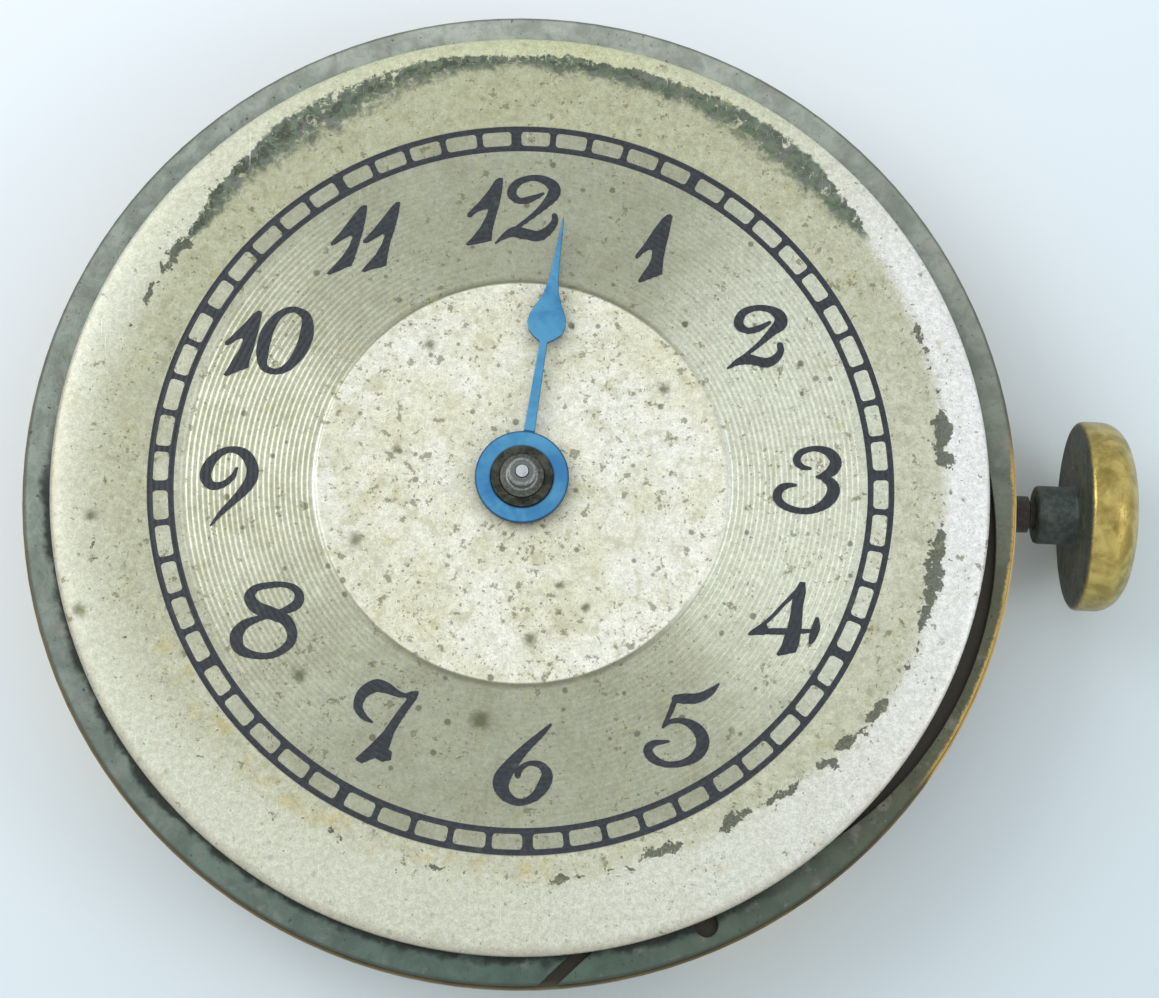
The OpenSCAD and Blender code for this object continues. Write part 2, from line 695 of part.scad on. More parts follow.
module yoke_plan() {
    difference() {
        union() {
            translate(yoke_pivot) circle(r = 0.72 * u);
            taper(yoke_pivot, [9.35, -1.9] * u, 1.1 * u, 0.55 * u);
            taper([9.35, -1.9] * u, yoke_tip, 0.55 * u, 0.2 * u);
            taper(yoke_pivot, [6.85, -5.6] * u, 0.9 * u, 0.4 * u);
        }
        translate(yoke_pivot) circle(r = 0.35 * u + play);
    }
}

module yoke_room() {
    polygon([[7, -6.3], [8.8, -6.1], [9.1, -4.6], [10.2, -1.9], [10.2, 0.7], [8.2, 0.7], [8.2, -2],
        [7, -3.9], [5.6, -4.7], [5.1, -5.5], [5.6, -6.4]] * u);
}

module yoke() {
    color(steel) slab(keyless_floor + 0.05, -0.86 * v) yoke_plan();
}

module yoke_spring() {
    color(steel) slab(keyless_floor, -0.9 * v) {
        translate([5.75, -5.45] * u) circle(r = 0.32 * u);
        taper([5.75, -5.62] * u, [7.02, -5.92] * u, 0.2 * u, 0.09 * u);
    }
}

module lever_plan() {
    difference() {
        union() {
            translate(lever_pivot) circle(r = 0.8 * u);
            taper(lever_pivot, [groove_x, 0], 1.2 * u, 0.62 * u);
            taper(lever_pivot, [10.75, -2.75] * u, 1 * u, 0.5 * u);
        }
        translate(lever_pivot) circle(r = tiny_r + play);
    }
}

module lever_room() {
    polygon([[10.2, -3.3], [10.2, -2], [11.3, -1.9], [11.35, 0.55], [13.1, 0.55], [13.3, -2.2],
        [12.9, -3.2], [12.1, -3.35]] * u);
}

module setting_lever() {
    color(steel) {
        slab(lever_floor + 0.03, -0.5 * v) lever_plan();
        rod(0.16 * u, lever_floor + 0.05, stem_z + 0.4 * u, [groove_x, 0]);
    }
}

module setting_lever_screw() {
    color(dark_steel) screw(lever_pivot, -0.48 * v, plate_back + 0.2 * v, 0.62 * u, 0.28 * v, tiny_r);
}

module cover_plan(grow = 0) {
    offset(delta = grow) polygon([[3.3, -2.75], [3.55, -0.4], [4.6, 0.9], [5.6, 1.7], [7.6, 1.75],
        [9, 1.5], [9.95, 0.8], [9.95, -1.9], [11.3, -2.35], [11.35, -2.85], [10.1, -3], [10.7, -5.2],
        [10.2, -6.2], [8.6, -6.6], [5.5, -6.6], [4.7, -5.4], [4.6, -3.9]] * u);
}

module setting_cover() {
    color(nickel) slab(cover_floor, -0.16 * v) difference() {
        cover_plan();
        for (p = cover_screws) translate(p) circle(r = tiny_r + play);
        translate(lever_pivot) circle(r = 0.62 * u + gap);
    }
}

module small_screws() {
    color(dark_steel) {
        for (p = cover_screws) screw(p, -0.16 * v, -1.35 * v, tiny_head, 0.12 * v, tiny_r);
        for (p = pallet_screws) screw(p, -2.95 * v, -1.2 * v, tiny_head, 0.2 * v, tiny_r);
        screw(click_screw, -4.45 * v, -3.7 * v, tiny_head, 0.2 * v, tiny_r);
        screw(click_hub, wheel_top + 0.02 * v, -3.7 * v, tiny_head, 0.2 * v, tiny_r);
    }
}

module barrel_drum() {
    color(gilt) translate([barrel_at[0], barrel_at[1], 0]) {
        difference() {
            union() {
                slab(barrel_bottom, barrel_bottom - 0.5 * v) gear(barrel_n, bm);
                rod(5.95 * u, barrel_bottom, barrel_top + 0.2 * v);
            }
            rod(5.65 * u, barrel_bottom - 0.2 * v, -9);
            rod(0.75 * u + play, 0, -9);
        }
    }
}

module barrel_cover() {
    color(gilt) translate([barrel_at[0], barrel_at[1], 0]) difference() {
        union() {
            rod(5.95 * u, barrel_top, barrel_top + 0.2 * v);
            rod(1.5 * u, barrel_top - 0.05 * v, barrel_top);
        }
        rod(0.75 * u + play, 0, -9);
        translate([5.5 * u, 0, -2.7 * v]) cube([0.7 * u, 1 * u, 2], center = true);
    }
}

module barrel_arbor() {
    low = barrel_bottom - 0.2 * v;
    color(steel) difference() {
        union() {
            arbor(barrel_at, [[0.55 * u, -0.78 * v], [0.55 * u, barrel_floor], [0.75 * u, barrel_floor],
                [0.75 * u, low - 0.03], [1.5 * u, low - 0.03], [1.5 * u, barrel_top + 0.23 * v],
                [0.75 * u, barrel_top + 0.23 * v], [0.75 * u, winding_floor]]);
            translate([barrel_at[0], barrel_at[1], 0]) rotate(ratchet_turn)
                slab(winding_floor + 0.01, ratchet_seat) square(1.06 * u, center = true);
        }
        rod(0.35 * u, -3.5 * v, -6 * v, barrel_at);
    }
}

function spiral(r, pitch, a, turns, n) =
    [for (i = [0:n]) let (s = turns * i / n) at(r + pitch * s, a + 360 * s)];

module ribbon(r, pitch, a, turns, n, w) {
    polygon(concat(spiral(r + w / 2, pitch, a, turns, n),
        [for (i = [n:-1:0]) spiral(r - w / 2, pitch, a, turns, n)[i]]));
}

module mainspring() {
    t = mainspring_t * u;
    pitch = (5.6 * u - 1.55 * u - t) / mainspring_turns;
    color(steel) translate([barrel_at[0], barrel_at[1], 0])
        slab(barrel_bottom - 0.26 * v, barrel_top + 0.26 * v)
        ribbon(1.55 * u + t / 2, pitch, 20, mainspring_turns, mainspring_turns * 32, t);
}

module barrel_bridge() {
    color(gilt) difference() {
        union() {
            slab(bridge_under, bridge_top) barrel_bridge_plan();
            slab(plate_back, bridge_under - 0.1) difference() {
                intersection() {
                    barrel_bridge_plan();
                    union() {
                        difference() {
                            circle(r = bridge_r);
                            circle(r = 12.9 * u);
                        }
                        translate(barrel_screws[0]) circle(r = 1.25 * u);
                        translate([5.6 * u, -6 * u]) square([9 * u, 16 * u]);
                    }
                }
                translate(barrel_at) circle(r = barrel_reach + 0.12 * u);
                circle(r = centre_reach + 0.15 * u);
            }
        }
        // Sunk seats for the winding wheels, the click and its spring
        slab(winding_floor, -9) {
            translate(barrel_at) circle(r = ratchet_reach + 0.12 * u);
            click_room();
        }
        slab(contrate_floor, -9) translate(crown_wheel_at) difference() {
            circle(r = crown_wheel_reach + 0.1 * u);
            circle(r = 1.1 * u);
        }
        slab(wheel_top + 0.1 * v, -9) translate(crown_wheel_at) circle(r = 1.2 * u);
        rod(0.4 * u, -9, -3.05 * v, crown_wheel_at);
        rod(0.75 * u + play, 0, -9, barrel_at);
        for (p = barrel_screws) {
            rod(screw_r + play, 0, -9, p);
            rod(head_r + gap, -4.4 * v, -9, p);
        }
        rod(tiny_r, -3.6 * v, -9, click_screw);
        rod(tiny_r, -3.6 * v, -9, click_hub);
        // Room for the winding pinion, the clutch and the stem
        translate([10.15 * u, 0, stem_z]) rotate([0, 90, 0]) cylinder(r = winding_tip + 0.1 * u, h = 1.3 * u);
        translate([7.98 * u, 0, stem_z]) rotate([0, 90, 0]) cylinder(r = 1.25 * u, h = 2.4 * u);
        rod_x(stem_r + play, 11.4 * u, 16 * u);
        rod_x(stem_pivot_r + play, 5 * u, 8.2 * u);
        // Screw of the setting lever ends in this foot
        rod(tiny_r + play, 0, -2.6 * v, lever_pivot);
    }
}

module train_bridge() {
    color(gilt) difference() {
        union() {
            slab(train_under, bridge_top) train_bridge_plan();
            slab(plate_back, train_under - 0.1) difference() {
                intersection() {
                    train_bridge_plan();
                    union() {
                        difference() {
                            circle(r = bridge_r);
                            circle(r = 12.95 * u);
                        }
                        for (p = train_screws) translate(p) circle(r = 1.15 * u);
                    }
                }
                translate(fourth_at) circle(r = fourth_reach + 0.1 * u);
                translate(third_at) circle(r = third_reach + 0.1 * u);
                translate(escape_at) circle(r = escape_r + 0.12 * u);
            }
        }
        for (p = train_screws) {
            rod(screw_r + play, 0, -9, p);
            rod(head_r + gap, -4.4 * v, -9, p);
        }
        for (p = [third_at, fourth_at, escape_at]) {
            rod(jewel_r, 0, train_under - 0.4 * v, p);
            translate([p[0], p[1], bridge_top - 0.01])
                cylinder(r1 = 0.85 * u, r2 = 0.5 * u, h = 0.66 * v);
        }
        rod(0.8 * u, 0, -9);
        slab(winding_floor, -9) translate(barrel_at) circle(r = ratchet_reach + 0.12 * u);
    }
}

module balance_cock() {
    foot = cock_screws[0];
    color(gilt) difference() {
        union() {
            slab(cock_under, cock_top) {
                translate(balance_at) circle(r = 1.62 * u);
                translate(balance_at) taper([0, 0], foot - balance_at, 2.9 * u, 4.4 * u);
                translate(balance_at) bar([0, 0], at(spring_r + 0.42 * u, stud_way), 1 * u);
                cock_foot_plan();
            }
            slab(plate_back, cock_under - 0.1) difference() {
                cock_foot_plan();
                translate(balance_at) circle(r = balance_clear);
            }
        }
        rod(jewel_r, 0, cock_under - 0.35 * v, balance_at);
        rod(0.32 * u, 0, -9, balance_at);
        rod(screw_r + play, 0, -9, foot);
        rod(head_r + gap, -4.3 * v, -9, foot);
        translate(concat(balance_at + at(spring_r + 0.2 * u, stud_way), -9)) cylinder(r = 0.22 * u, h = 9);
    }
}

module cock_foot_plan() {
    intersection() {
        circle(r = bridge_r);
        translate([6.3, -9.3] * u) rotate(-56) square([5, 6.2] * u, center = true);
        difference() {
            circle(r = 20 * u);
            circle(r = 8.9 * u);
        }
    }
}

module pallet_bridge() {
    color(gilt) difference() {
        union() {
            slab(-2.75 * v, -3.15 * v) taper(fork_at, pallet_screws[0], 1.5 * u, 1.5 * u);
            slab(plate_back, -2.8 * v) translate(pallet_screws[0]) circle(r = 0.75 * u);
        }
        rod(jewel_r * 0.85, 0, -9, fork_at);
        rod(tiny_r + play, 0, -9, pallet_screws[0]);
        rod(tiny_head + play, -2.95 * v, -9, pallet_screws[0]);
    }
}

module bridge_screws() {
    color(dark_steel) {
        for (p = concat(barrel_screws, train_screws))
            screw(p, -4.4 * v, plate_back + 0.85 * v, head_r, 0.55 * v, screw_r);
        screw(cock_screws[0], -4.3 * v, plate_back + 0.85 * v, head_r, 0.4 * v, screw_r);
    }
}

module centre_arbor() {
    color(steel) {
        arbor([0, 0], [[0.2 * u - 0.02, 1.6 * v], [0.2 * u - 0.01, 1.55 * v], [0.2 * u - play, 1.42 * v],
            [centre_r - play / 2, 1.4 * v], [centre_r - play / 2, motion_floor], [0.4 * u, motion_floor],
            [0.4 * u, pinion_floor - 0.03], [0.55 * u, pinion_floor - 0.03], [0.55 * u, centre_z + 0.2 * v],
            [0.5 * u, centre_z + 0.2 * v], [0.5 * u, centre_z - 0.05 * v], [0.42 * u, -3.9 * v],
            [0.28 * u, -3.9 * v], [0.28 * u, -4.55 * v]]);
        slab(pinion_floor - 0.05, plate_back - 0.05 * v) rotate(centre_pinion_turn)
            leaves(centre_pinion_n, bm);
    }
}

module centre_wheel() {
    color(brass) train_wheel([0, 0], centre_n, cm, 0.42 * u, 1.1 * u, 0.5 * u, centre_z, 0.18 * v);
}

// Arbor of the train with its pinion between z1 and z2 and its wheel seated at wheel_z
module train_arbor(p, n, m, turn, z1, z2, low, high, wheel_z, seat_r) {
    seat_low = wheel_z > z1 ? wheel_z + 0.01 : z1;
    seat_high = wheel_z > z1 ? z2 : wheel_z - 0.2 * v;
    color(steel) {
        arbor(p, [[pivot_r, low + 0.3 * v], [pivot_r, low - 0.02], [0.24 * u, low - 0.04],
            [0.24 * u, seat_low], [seat_r, seat_low], [seat_r, seat_high], [0.24 * u, seat_high],
            [0.24 * u, high + 0.04], [pivot_r, high + 0.02], [pivot_r, high - 0.3 * v]]);
        translate([p[0], p[1], 0]) slab(z1, z2) rotate(turn) leaves(n, m);
    }
}

module third_arbor() {
    train_arbor(third_at, third_pinion_n, cm, third_pinion_turn, -2.75 * v, -3.35 * v,
        plate_back, train_under, third_z + 0.2 * v, 0.4 * u);
}

module third_wheel() {
    color(brass) train_wheel(third_at, third_n, tm, 0.36 * u, 0.85 * u, 0.4 * u, third_z, 0.18 * v);
}

module fourth_arbor() {
    train_arbor(fourth_at, fourth_pinion_n, tm, fourth_pinion_turn, -2.04 * v, -2.5 * v,
        plate_back, train_under, fourth_z, 0.34 * u);
}

module fourth_wheel() {
    color(brass) train_wheel(fourth_at, fourth_n, qm, 0.32 * u, 0.75 * u, 0.34 * u, fourth_z, 0.16 * v);
}

module escape_arbor() {
    train_arbor(escape_at, escape_pinion_n, qm, escape_pinion_turn, -2.52 * v, -2.98 * v,
        escape_floor, train_under, escape_z + 0.15 * v, 0.24 * u + 0.02);
}

// Club tooth of the escape wheel in polar steps, leaning the way the wheel turns
function club(k) = let (s = escape_r / 2.5, c = -k * 360 / escape_n)
    [for (q = [[1.96, 6.2], [2.2, 3.2], [2.42, 0.6], [2.44, 0], [2.5, 2.2], [2.46, 3], [2.3, 4.1],
        [2.1, 7.6], [1.96, 12.5]]) at(q[0] * s, c - q[1])];

module escape_wheel() {
    s = escape_r / 2.5;
    color(brass) translate([escape_at[0], escape_at[1], 0]) slab(escape_z, escape_z + 0.14 * v)
        rotate(escape_turn) difference() {
            polygon([for (k = [0:escape_n - 1]) each club(k)]);
            spokes(1.68 * s, 0.6 * u, 5, 0.3 * u);
            circle(r = 0.24 * u + 0.02);
        }
}

escape_turn = lever_way + 13.4;

module fork_frame() {
    translate([fork_at[0], fork_at[1], 0]) rotate(lever_way) children();
}

module pallet_fork() {
    arm = escape_r / cos(30) / 2;
    L = lever_l * u;
    n = impulse_d * u / 2 + 0.035;
    reach = escape_r * tan(30);
    color(steel) fork_frame() {
        slab(fork_z, fork_z + 0.2 * v) difference() {
            union() {
                circle(r = 0.34 * u);
                for (s = [-1, 1]) {
                    taper([0, 0], [-reach / 2 + 0.4 * u, s * (reach * cos(30) + 0.23 * u)],
                        0.38 * u, 0.3 * u);
                    translate([-reach / 2, s * reach * cos(30)]) rotate(s * 30)
                        translate([0.46 * u, 0]) square([0.52, 0.5] * u, center = true);
                }
                taper([0, 0], [L - 0.55 * u, 0], 0.5 * u, 0.3 * u);
                polygon([for (q = [[-0.7, -0.15], [-0.35, -0.42], [0.13, -0.5], [0.13, 0.5], [-0.35, 0.42],
                    [-0.7, 0.15]]) [L, 0] + q * u]);
            }
            translate([L - n, -n]) square([3 * u, 2 * n]);
            stone_plan(play);
            circle(r = 0.2 * u);
        }
        // Dart under the notch, its point just clear of the safety roller
        slab(fork_z + 0.18 * v, fork_z + 0.4 * v) translate([L - 0.42 * u, 0]) circle(r = 0.12 * u);
        slab(fork_z + 0.25 * v, fork_z + 0.4 * v)
            taper([L - 0.42 * u, 0], [L + (impulse_r - 0.43) * u, 0], 0.24 * u, 0.12 * u);
    }
}

// Pallet stones in the frame of the fork, their tips just outside the escape teeth
module stone_plan(grow = 0) {
    reach = escape_r * tan(30);
    w = 0.13 * u + grow;
    for (s = [-1, 1]) translate([-reach / 2, s * reach * cos(30)]) rotate(s * 30)
        polygon([[stone_r - escape_r + 0.08 * u, w], [stone_r - escape_r, -w],
            [0.62 * u + grow, -w], [0.62 * u + grow, w]]);
}

module pallet_stones() {
    color(ruby) fork_frame() slab(fork_z - 0.03 * v, fork_z + 0.22 * v) stone_plan();
}

module pallet_arbor() {
    color(steel) arbor(fork_at, [[pivot_r, escape_floor + 0.3 * v], [pivot_r, escape_floor - 0.02],
        [0.2 * u, escape_floor - 0.04], [0.2 * u, -2.72 * v], [pivot_r, -2.74 * v], [pivot_r, -3.05 * v]]);
}

module balance_wheel() {
    color(brass) translate([balance_at[0], balance_at[1], 0]) rotate(balance_turn) {
        slab(rim_top, rim_under) difference() {
            circle(r = balance_r);
            circle(r = balance_r - balance_rim_w * u);
            for (k = [0, 1]) rotate(k * 180 + 9) translate([balance_r, 0])
                square([2, 0.14] * u, center = true);
        }
        slab(-3.62 * v, -3.46 * v) difference() {
            union() {
                circle(r = 0.62 * u);
                square([2 * balance_r - 0.4 * u, 0.55 * u], center = true);
            }
            circle(r = 0.36 * u);
        }
    }
}

balance_turn = 40;
screw_ways = [for (h = [0, 1]) for (k = [0:screws_per_half - 1])
    h * 180 + 18 + k * 146 / (screws_per_half - 1)];

module balance_screws() {
    color(gilt) translate([balance_at[0], balance_at[1], (rim_top + rim_under) / 2]) rotate(balance_turn)
        for (a = screw_ways) rotate(a) rotate([0, 90, 0]) difference() {
            translate([0, 0, balance_r]) cylinder(r = 0.2 * v, h = 0.32 * u);
            translate([0, 0, balance_r + 0.32 * u]) cube([0.08, 1, 0.2] * u, center = true);
        }
}

module balance_staff() {
    color(steel) arbor(balance_at, [[0.06 * u, escape_floor + 0.28 * v], [0.06 * u, escape_floor - 0.03],
        [0.2 * u, escape_floor - 0.1], [0.2 * u, -2.45 * v], [0.24 * u, -2.45 * v], [0.24 * u, -2.65 * v],
        [0.6 * u, -3.2 * v], [0.6 * u, -3.46 * v], [0.36 * u, -3.46 * v], [0.36 * u, -3.68 * v],
        [0.22 * u, -3.7 * v], [0.22 * u, cock_under + 0.05], [0.06 * u, cock_under + 0.02],
        [0.06 * u, cock_under - 0.3 * v]]);
}

module roller_table() {
    color(steel) translate([balance_at[0], balance_at[1], 0]) rotate(lever_way) difference() {
        union() {
            rod(0.85 * u, -2.45 * v, -2.62 * v);
            slab(-1.86 * v, -2.46 * v) difference() {
                circle(r = 0.33 * u);
                translate([-0.42 * u, 0]) circle(r = 0.2 * u);
            }
        }
        rod(0.2 * u, 0, -2.46 * v);
        rod(0.24 * u, -2.4 * v, -9);
        translate([-impulse_r * u, 0, -3 * v]) cylinder(d = impulse_d * u, h = 2 * v);
    }
}

module impulse_jewel() {
    color(ruby) translate([balance_at[0], balance_at[1], 0]) rotate(lever_way)
        rod(impulse_d * u / 2, -2.09 * v, -2.62 * v, [-impulse_r * u, 0]);
}

module hairspring() {
    inner = collet_r + hairspring_t * u / 2;
    turns = hairspring_turns;
    body_r = spring_r - 0.42 * u;
    pitch = (body_r - inner) / (turns - 1);
    start = stud_way - 360 * turns;
    n = turns * 30;
    // The last turn swings out to an arc about the balance axis, where the regulator pins slide
    function r_at(s) = s < turns - 1 ? inner + pitch * s
        : body_r + (spring_r - body_r) * (1 - cos(180 * min(1, (s - turns + 1) / 0.6))) / 2;
    w = hairspring_t * u / 2;
    color(blue) translate([balance_at[0], balance_at[1], 0]) slab(-4.06 * v, -3.92 * v)
        polygon(concat([for (i = [0:n]) at(r_at(turns * i / n) + w, start + 360 * turns * i / n)],
            [for (i = [n:-1:0]) at(r_at(turns * i / n) - w, start + 360 * turns * i / n)]));
}

module hairspring_collet() {
    color(brass) difference() {
        rod(collet_r, -3.76 * v, -4.08 * v, balance_at);
        rod(0.22 * u, 0, -9, balance_at);
    }
}

module hairspring_stud() {
    p = balance_at + at(spring_r + 0.2 * u, stud_way);
    color(steel) difference() {
        rod(0.22 * u, -3.86 * v, cock_top - 0.06 * v, p);
        hairspring_slot();
    }
}

// Slot of the stud for the outer end of the hairspring
module hairspring_slot() {
    translate([balance_at[0], balance_at[1], 0]) slab(-3.9 * v, -4.08 * v) difference() {
        circle(r = spring_r + hairspring_t * u / 2 + play / 2);
        circle(r = spring_r - 1 * u);
    }
}

module regulator() {
    color(steel) translate([balance_at[0], balance_at[1], 0]) {
        slab(cock_top - 0.02, regulator_top) difference() {
            union() {
                circle(r = 1.5 * u);
                rotate(pin_way) taper([1.3 * u, 0], [spring_r + 0.1 * u, 0], 0.7 * u, 0.62 * u);
                rotate(-12) taper([1.3 * u, 0], [4.6 * u, 0], 0.5 * u, 0.14 * u);
            }
            circle(r = 1.05 * u + play);
        }
        for (s = [-1, 1]) rotate(pin_way) rod(0.07 * u, cock_top - 0.1 * v, -3.9 * v,
            [spring_r + s * (0.07 * u + hairspring_t * u / 2 + pin_room), 0]);
    }
}

module end_pieces() {
    color(steel) {
        difference() {
            rod(1.05 * u, cock_top, cap_top, balance_at);
            rod(0.3 * u, cap_top + 0.08 * v, -9, balance_at);
        }
        rod(1.3 * u, -0.75 * v, -0.55 * v, balance_at);
    }
}

module ratchet_wheel() {
    color(steel) translate([barrel_at[0], barrel_at[1], 0]) rotate(ratchet_turn) difference() {
        slab(winding_floor - 0.04, wheel_top) difference() {
            gear(ratchet_n, wm, 0.44, 0.9, 1.1);
            square(1.06 * u + play, center = true);
        }
        rod(1.25 * u, ratchet_seat, -9);
    }
}

module ratchet_screw() {
    color(dark_steel) screw(barrel_at, ratchet_seat, -3.6 * v, 1.2 * u, 0.24 * v, 0.35 * u);
}

module crown_wheel() {
    n = crown_wheel_n;
    p = 2 * 180 * contrate_mid / n * PI / 180;
    h = contrate_tip_z - contrate_root_z;
    neck_r = wm * (n / 2 - 1.15);
    color(steel) translate([crown_wheel_at[0], crown_wheel_at[1], 0]) difference() {
        union() {
            slab(winding_floor - 0.04, wheel_top) gear(n, wm, 0.44, 0.9, 1.1);
            slab(contrate_root_z, winding_floor + 0.02) circle(r = contrate_out);
            slab(winding_floor + 0.03, winding_floor - 0.1) circle(r = neck_r);
            for (k = [0:n - 1]) rotate(k * 360 / n) translate([contrate_in, 0, contrate_root_z - 0.02])
                rotate([90, 0, 90]) linear_extrude(contrate_out - contrate_in)
                polygon([[-0.2 * p, 0], [0.2 * p, 0], [0.2 * p, 0.45 * h], [0.1 * p, h + 0.02],
                    [-0.1 * p, h + 0.02], [-0.2 * p, 0.45 * h]]);
        }
        slab(contrate_root_z, 0) circle(r = contrate_in);
        slab(winding_floor, 0) circle(r = neck_r - 0.5 * u);
        rod(1.1 * u + play, 0, -9);
    }
}

module crown_wheel_screw() {
    color(dark_steel) screw(crown_wheel_at, wheel_top - 0.02, -3.15 * v, 1.5 * u, 0.2 * v, 0.4 * u);
    color(dark_steel) difference() {
        rod(1.1 * u, wheel_top - 0.03, wheel_top + 0.1 * v, crown_wheel_at);
        rod(0.39 * u, 0, -9, crown_wheel_at);
    }
}

module click_room() {
    polygon([[-0.2, 6.1], [-2.1, 6.1], [-2.7, 8.2], [-2.3, 9.4], [-1.6, 10.4], [-0.5, 10.7],
        [0.7, 10.2]] * u);
    bar([-4.3, 8.3] * u, [-1.8, 8.6] * u, 1.3 * u);
}

module click() {
    // The beak stands over a gap between two teeth, just clear of their tips
    way = ratchet_turn + 360 * 19.5 / ratchet_n;
    r = ratchet_reach + 0.05;
    color(steel) slab(winding_floor - 0.05, wheel_top + 0.12 * v) difference() {
        union() {
            translate(click_at) circle(r = 0.62 * u);
            polygon([click_at + [-0.5, 0.1] * u, click_at + [-0.8, -2.1] * u,
                barrel_at + at(r + 0.35 * u, way + 2.2), barrel_at + at(r, way + 1.7),
                barrel_at + at(r, way - 0.5), barrel_at + at(r + 0.3 * u, way - 0.8),
                click_at + [-0.3, -1.8] * u, click_at + [0.3, -0.4] * u]);
        }
        translate(click_at) circle(r = tiny_r + play);
    }
}

module click_spring() {
    color(steel) slab(winding_floor - 0.02, -4.45 * v) difference() {
        union() {
            translate(click_screw) circle(r = 0.5 * u);
            taper(click_screw, [-3.2, 8.75] * u, 0.5 * u, 0.2 * u);
            taper([-3.2, 8.75] * u, [-1.74, 8.25] * u, 0.2 * u, 0.12 * u);
        }
        translate(click_screw) circle(r = tiny_r + play);
    }
}

module hole_jewel(p, z1, z2, r, hole) {
    translate([p[0], p[1], 0]) difference() {
        rod(r, z1, z2);
        rod(hole, z1 - 5, z2 + 5);
    }
}

module jewels() {
    color(ruby) {
        for (j = plate_holes) hole_jewel(j[0], j[1], j[1] + 0.35 * v, jewel_r,
            j[0] == balance_at ? 0.06 * u + play : hole_r);
        for (p = [third_at, fourth_at, escape_at])
            hole_jewel(p, train_under, train_under - 0.4 * v, jewel_r, hole_r);
        hole_jewel([0, 0], motion_floor, pinion_floor, 0.6 * u, 0.4 * u + play);
        hole_jewel([0, 0], train_under, -4.6 * v, 0.8 * u, 0.28 * u + play);
        hole_jewel(fork_at, -2.75 * v, -3.1 * v, jewel_r * 0.85, hole_r);
        hole_jewel(balance_at, cock_under, cock_under - 0.35 * v, jewel_r, 0.06 * u + play);
    }
}

mainplate();
dial_ring();
dial();
dial_feet();
dial_foot_screws();
hour_hand();
cannon_pinion();
hour_wheel();
minute_wheel();
minute_pinion();
dial_washer();
setting_wheel();
intermediate_wheel();
winding_stem();
crown();
winding_pinion();
clutch_wheel();
setting_lever();
setting_lever_screw();
yoke();
yoke_spring();
setting_cover();
small_screws();
barrel_drum();
barrel_cover();
barrel_arbor();
mainspring();
barrel_bridge();
train_bridge();
balance_cock();
pallet_bridge();
bridge_screws();
centre_arbor();
centre_wheel();
third_arbor();
third_wheel();
fourth_arbor();
fourth_wheel();
escape_arbor();
escape_wheel();
pallet_fork();
pallet_stones();
pallet_arbor();
balance_wheel();
balance_screws();
balance_staff();
roller_table();
impulse_jewel();
hairspring();
hairspring_collet();
hairspring_stud();
regulator();
end_pieces();
ratchet_wheel();
ratchet_screw();
crown_wheel();
crown_wheel_screw();
click();
click_spring();
jewels();
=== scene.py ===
import json
import math

import bmesh
import bpy
from mathutils import Matrix, Vector, geometry


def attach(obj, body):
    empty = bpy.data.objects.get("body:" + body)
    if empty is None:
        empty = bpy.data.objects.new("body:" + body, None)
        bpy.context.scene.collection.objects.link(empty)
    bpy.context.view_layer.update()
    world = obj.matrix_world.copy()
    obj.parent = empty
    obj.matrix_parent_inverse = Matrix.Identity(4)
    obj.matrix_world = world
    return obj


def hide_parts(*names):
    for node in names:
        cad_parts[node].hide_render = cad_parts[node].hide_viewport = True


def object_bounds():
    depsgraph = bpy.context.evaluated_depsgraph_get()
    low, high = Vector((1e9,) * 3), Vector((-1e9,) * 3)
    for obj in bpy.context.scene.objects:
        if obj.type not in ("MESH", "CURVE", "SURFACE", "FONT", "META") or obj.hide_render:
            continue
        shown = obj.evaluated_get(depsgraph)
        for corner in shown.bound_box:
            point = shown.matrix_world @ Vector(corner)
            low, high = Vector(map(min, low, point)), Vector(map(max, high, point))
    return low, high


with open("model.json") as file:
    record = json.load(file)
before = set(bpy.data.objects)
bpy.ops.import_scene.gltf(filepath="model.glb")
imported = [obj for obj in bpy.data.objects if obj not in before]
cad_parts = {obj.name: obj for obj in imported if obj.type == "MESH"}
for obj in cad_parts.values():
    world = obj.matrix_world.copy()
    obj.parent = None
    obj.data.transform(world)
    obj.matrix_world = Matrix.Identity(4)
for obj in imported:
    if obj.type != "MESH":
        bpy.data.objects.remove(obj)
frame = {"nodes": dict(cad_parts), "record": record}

bpy.context.view_layer.update()
cad_box = [list(corner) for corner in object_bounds()]
NODES = frame["nodes"]
BODY_OF = {node: body for body, names in frame["record"]["behaviour"]["bodies"].items() for node in names}
MM = 0.001

# Sizes in millimetres, as in the CAD
DIAL_TURN = math.radians(2.9)
DISC_R = 6.0
TRACK_R = 10.92
GROUND = 0.34
RAISED = 0.37
STEM_Z = -1.85
CROWN_X = 16.62
CROWN_T = 1.65


def tone(r, g, b):
    """A screen colour from 0 to 255 as linear values."""
    return tuple(((c / 255 + 0.055) / 1.055) ** 2.4 if c > 10 else c / 3294.6 for c in (r, g, b))


# Materials

FLAT = {"anisotropic": "Anisotropic", "transmission": "Transmission Weight", "ior": "IOR",
        "specular": "Specular IOR Level"}


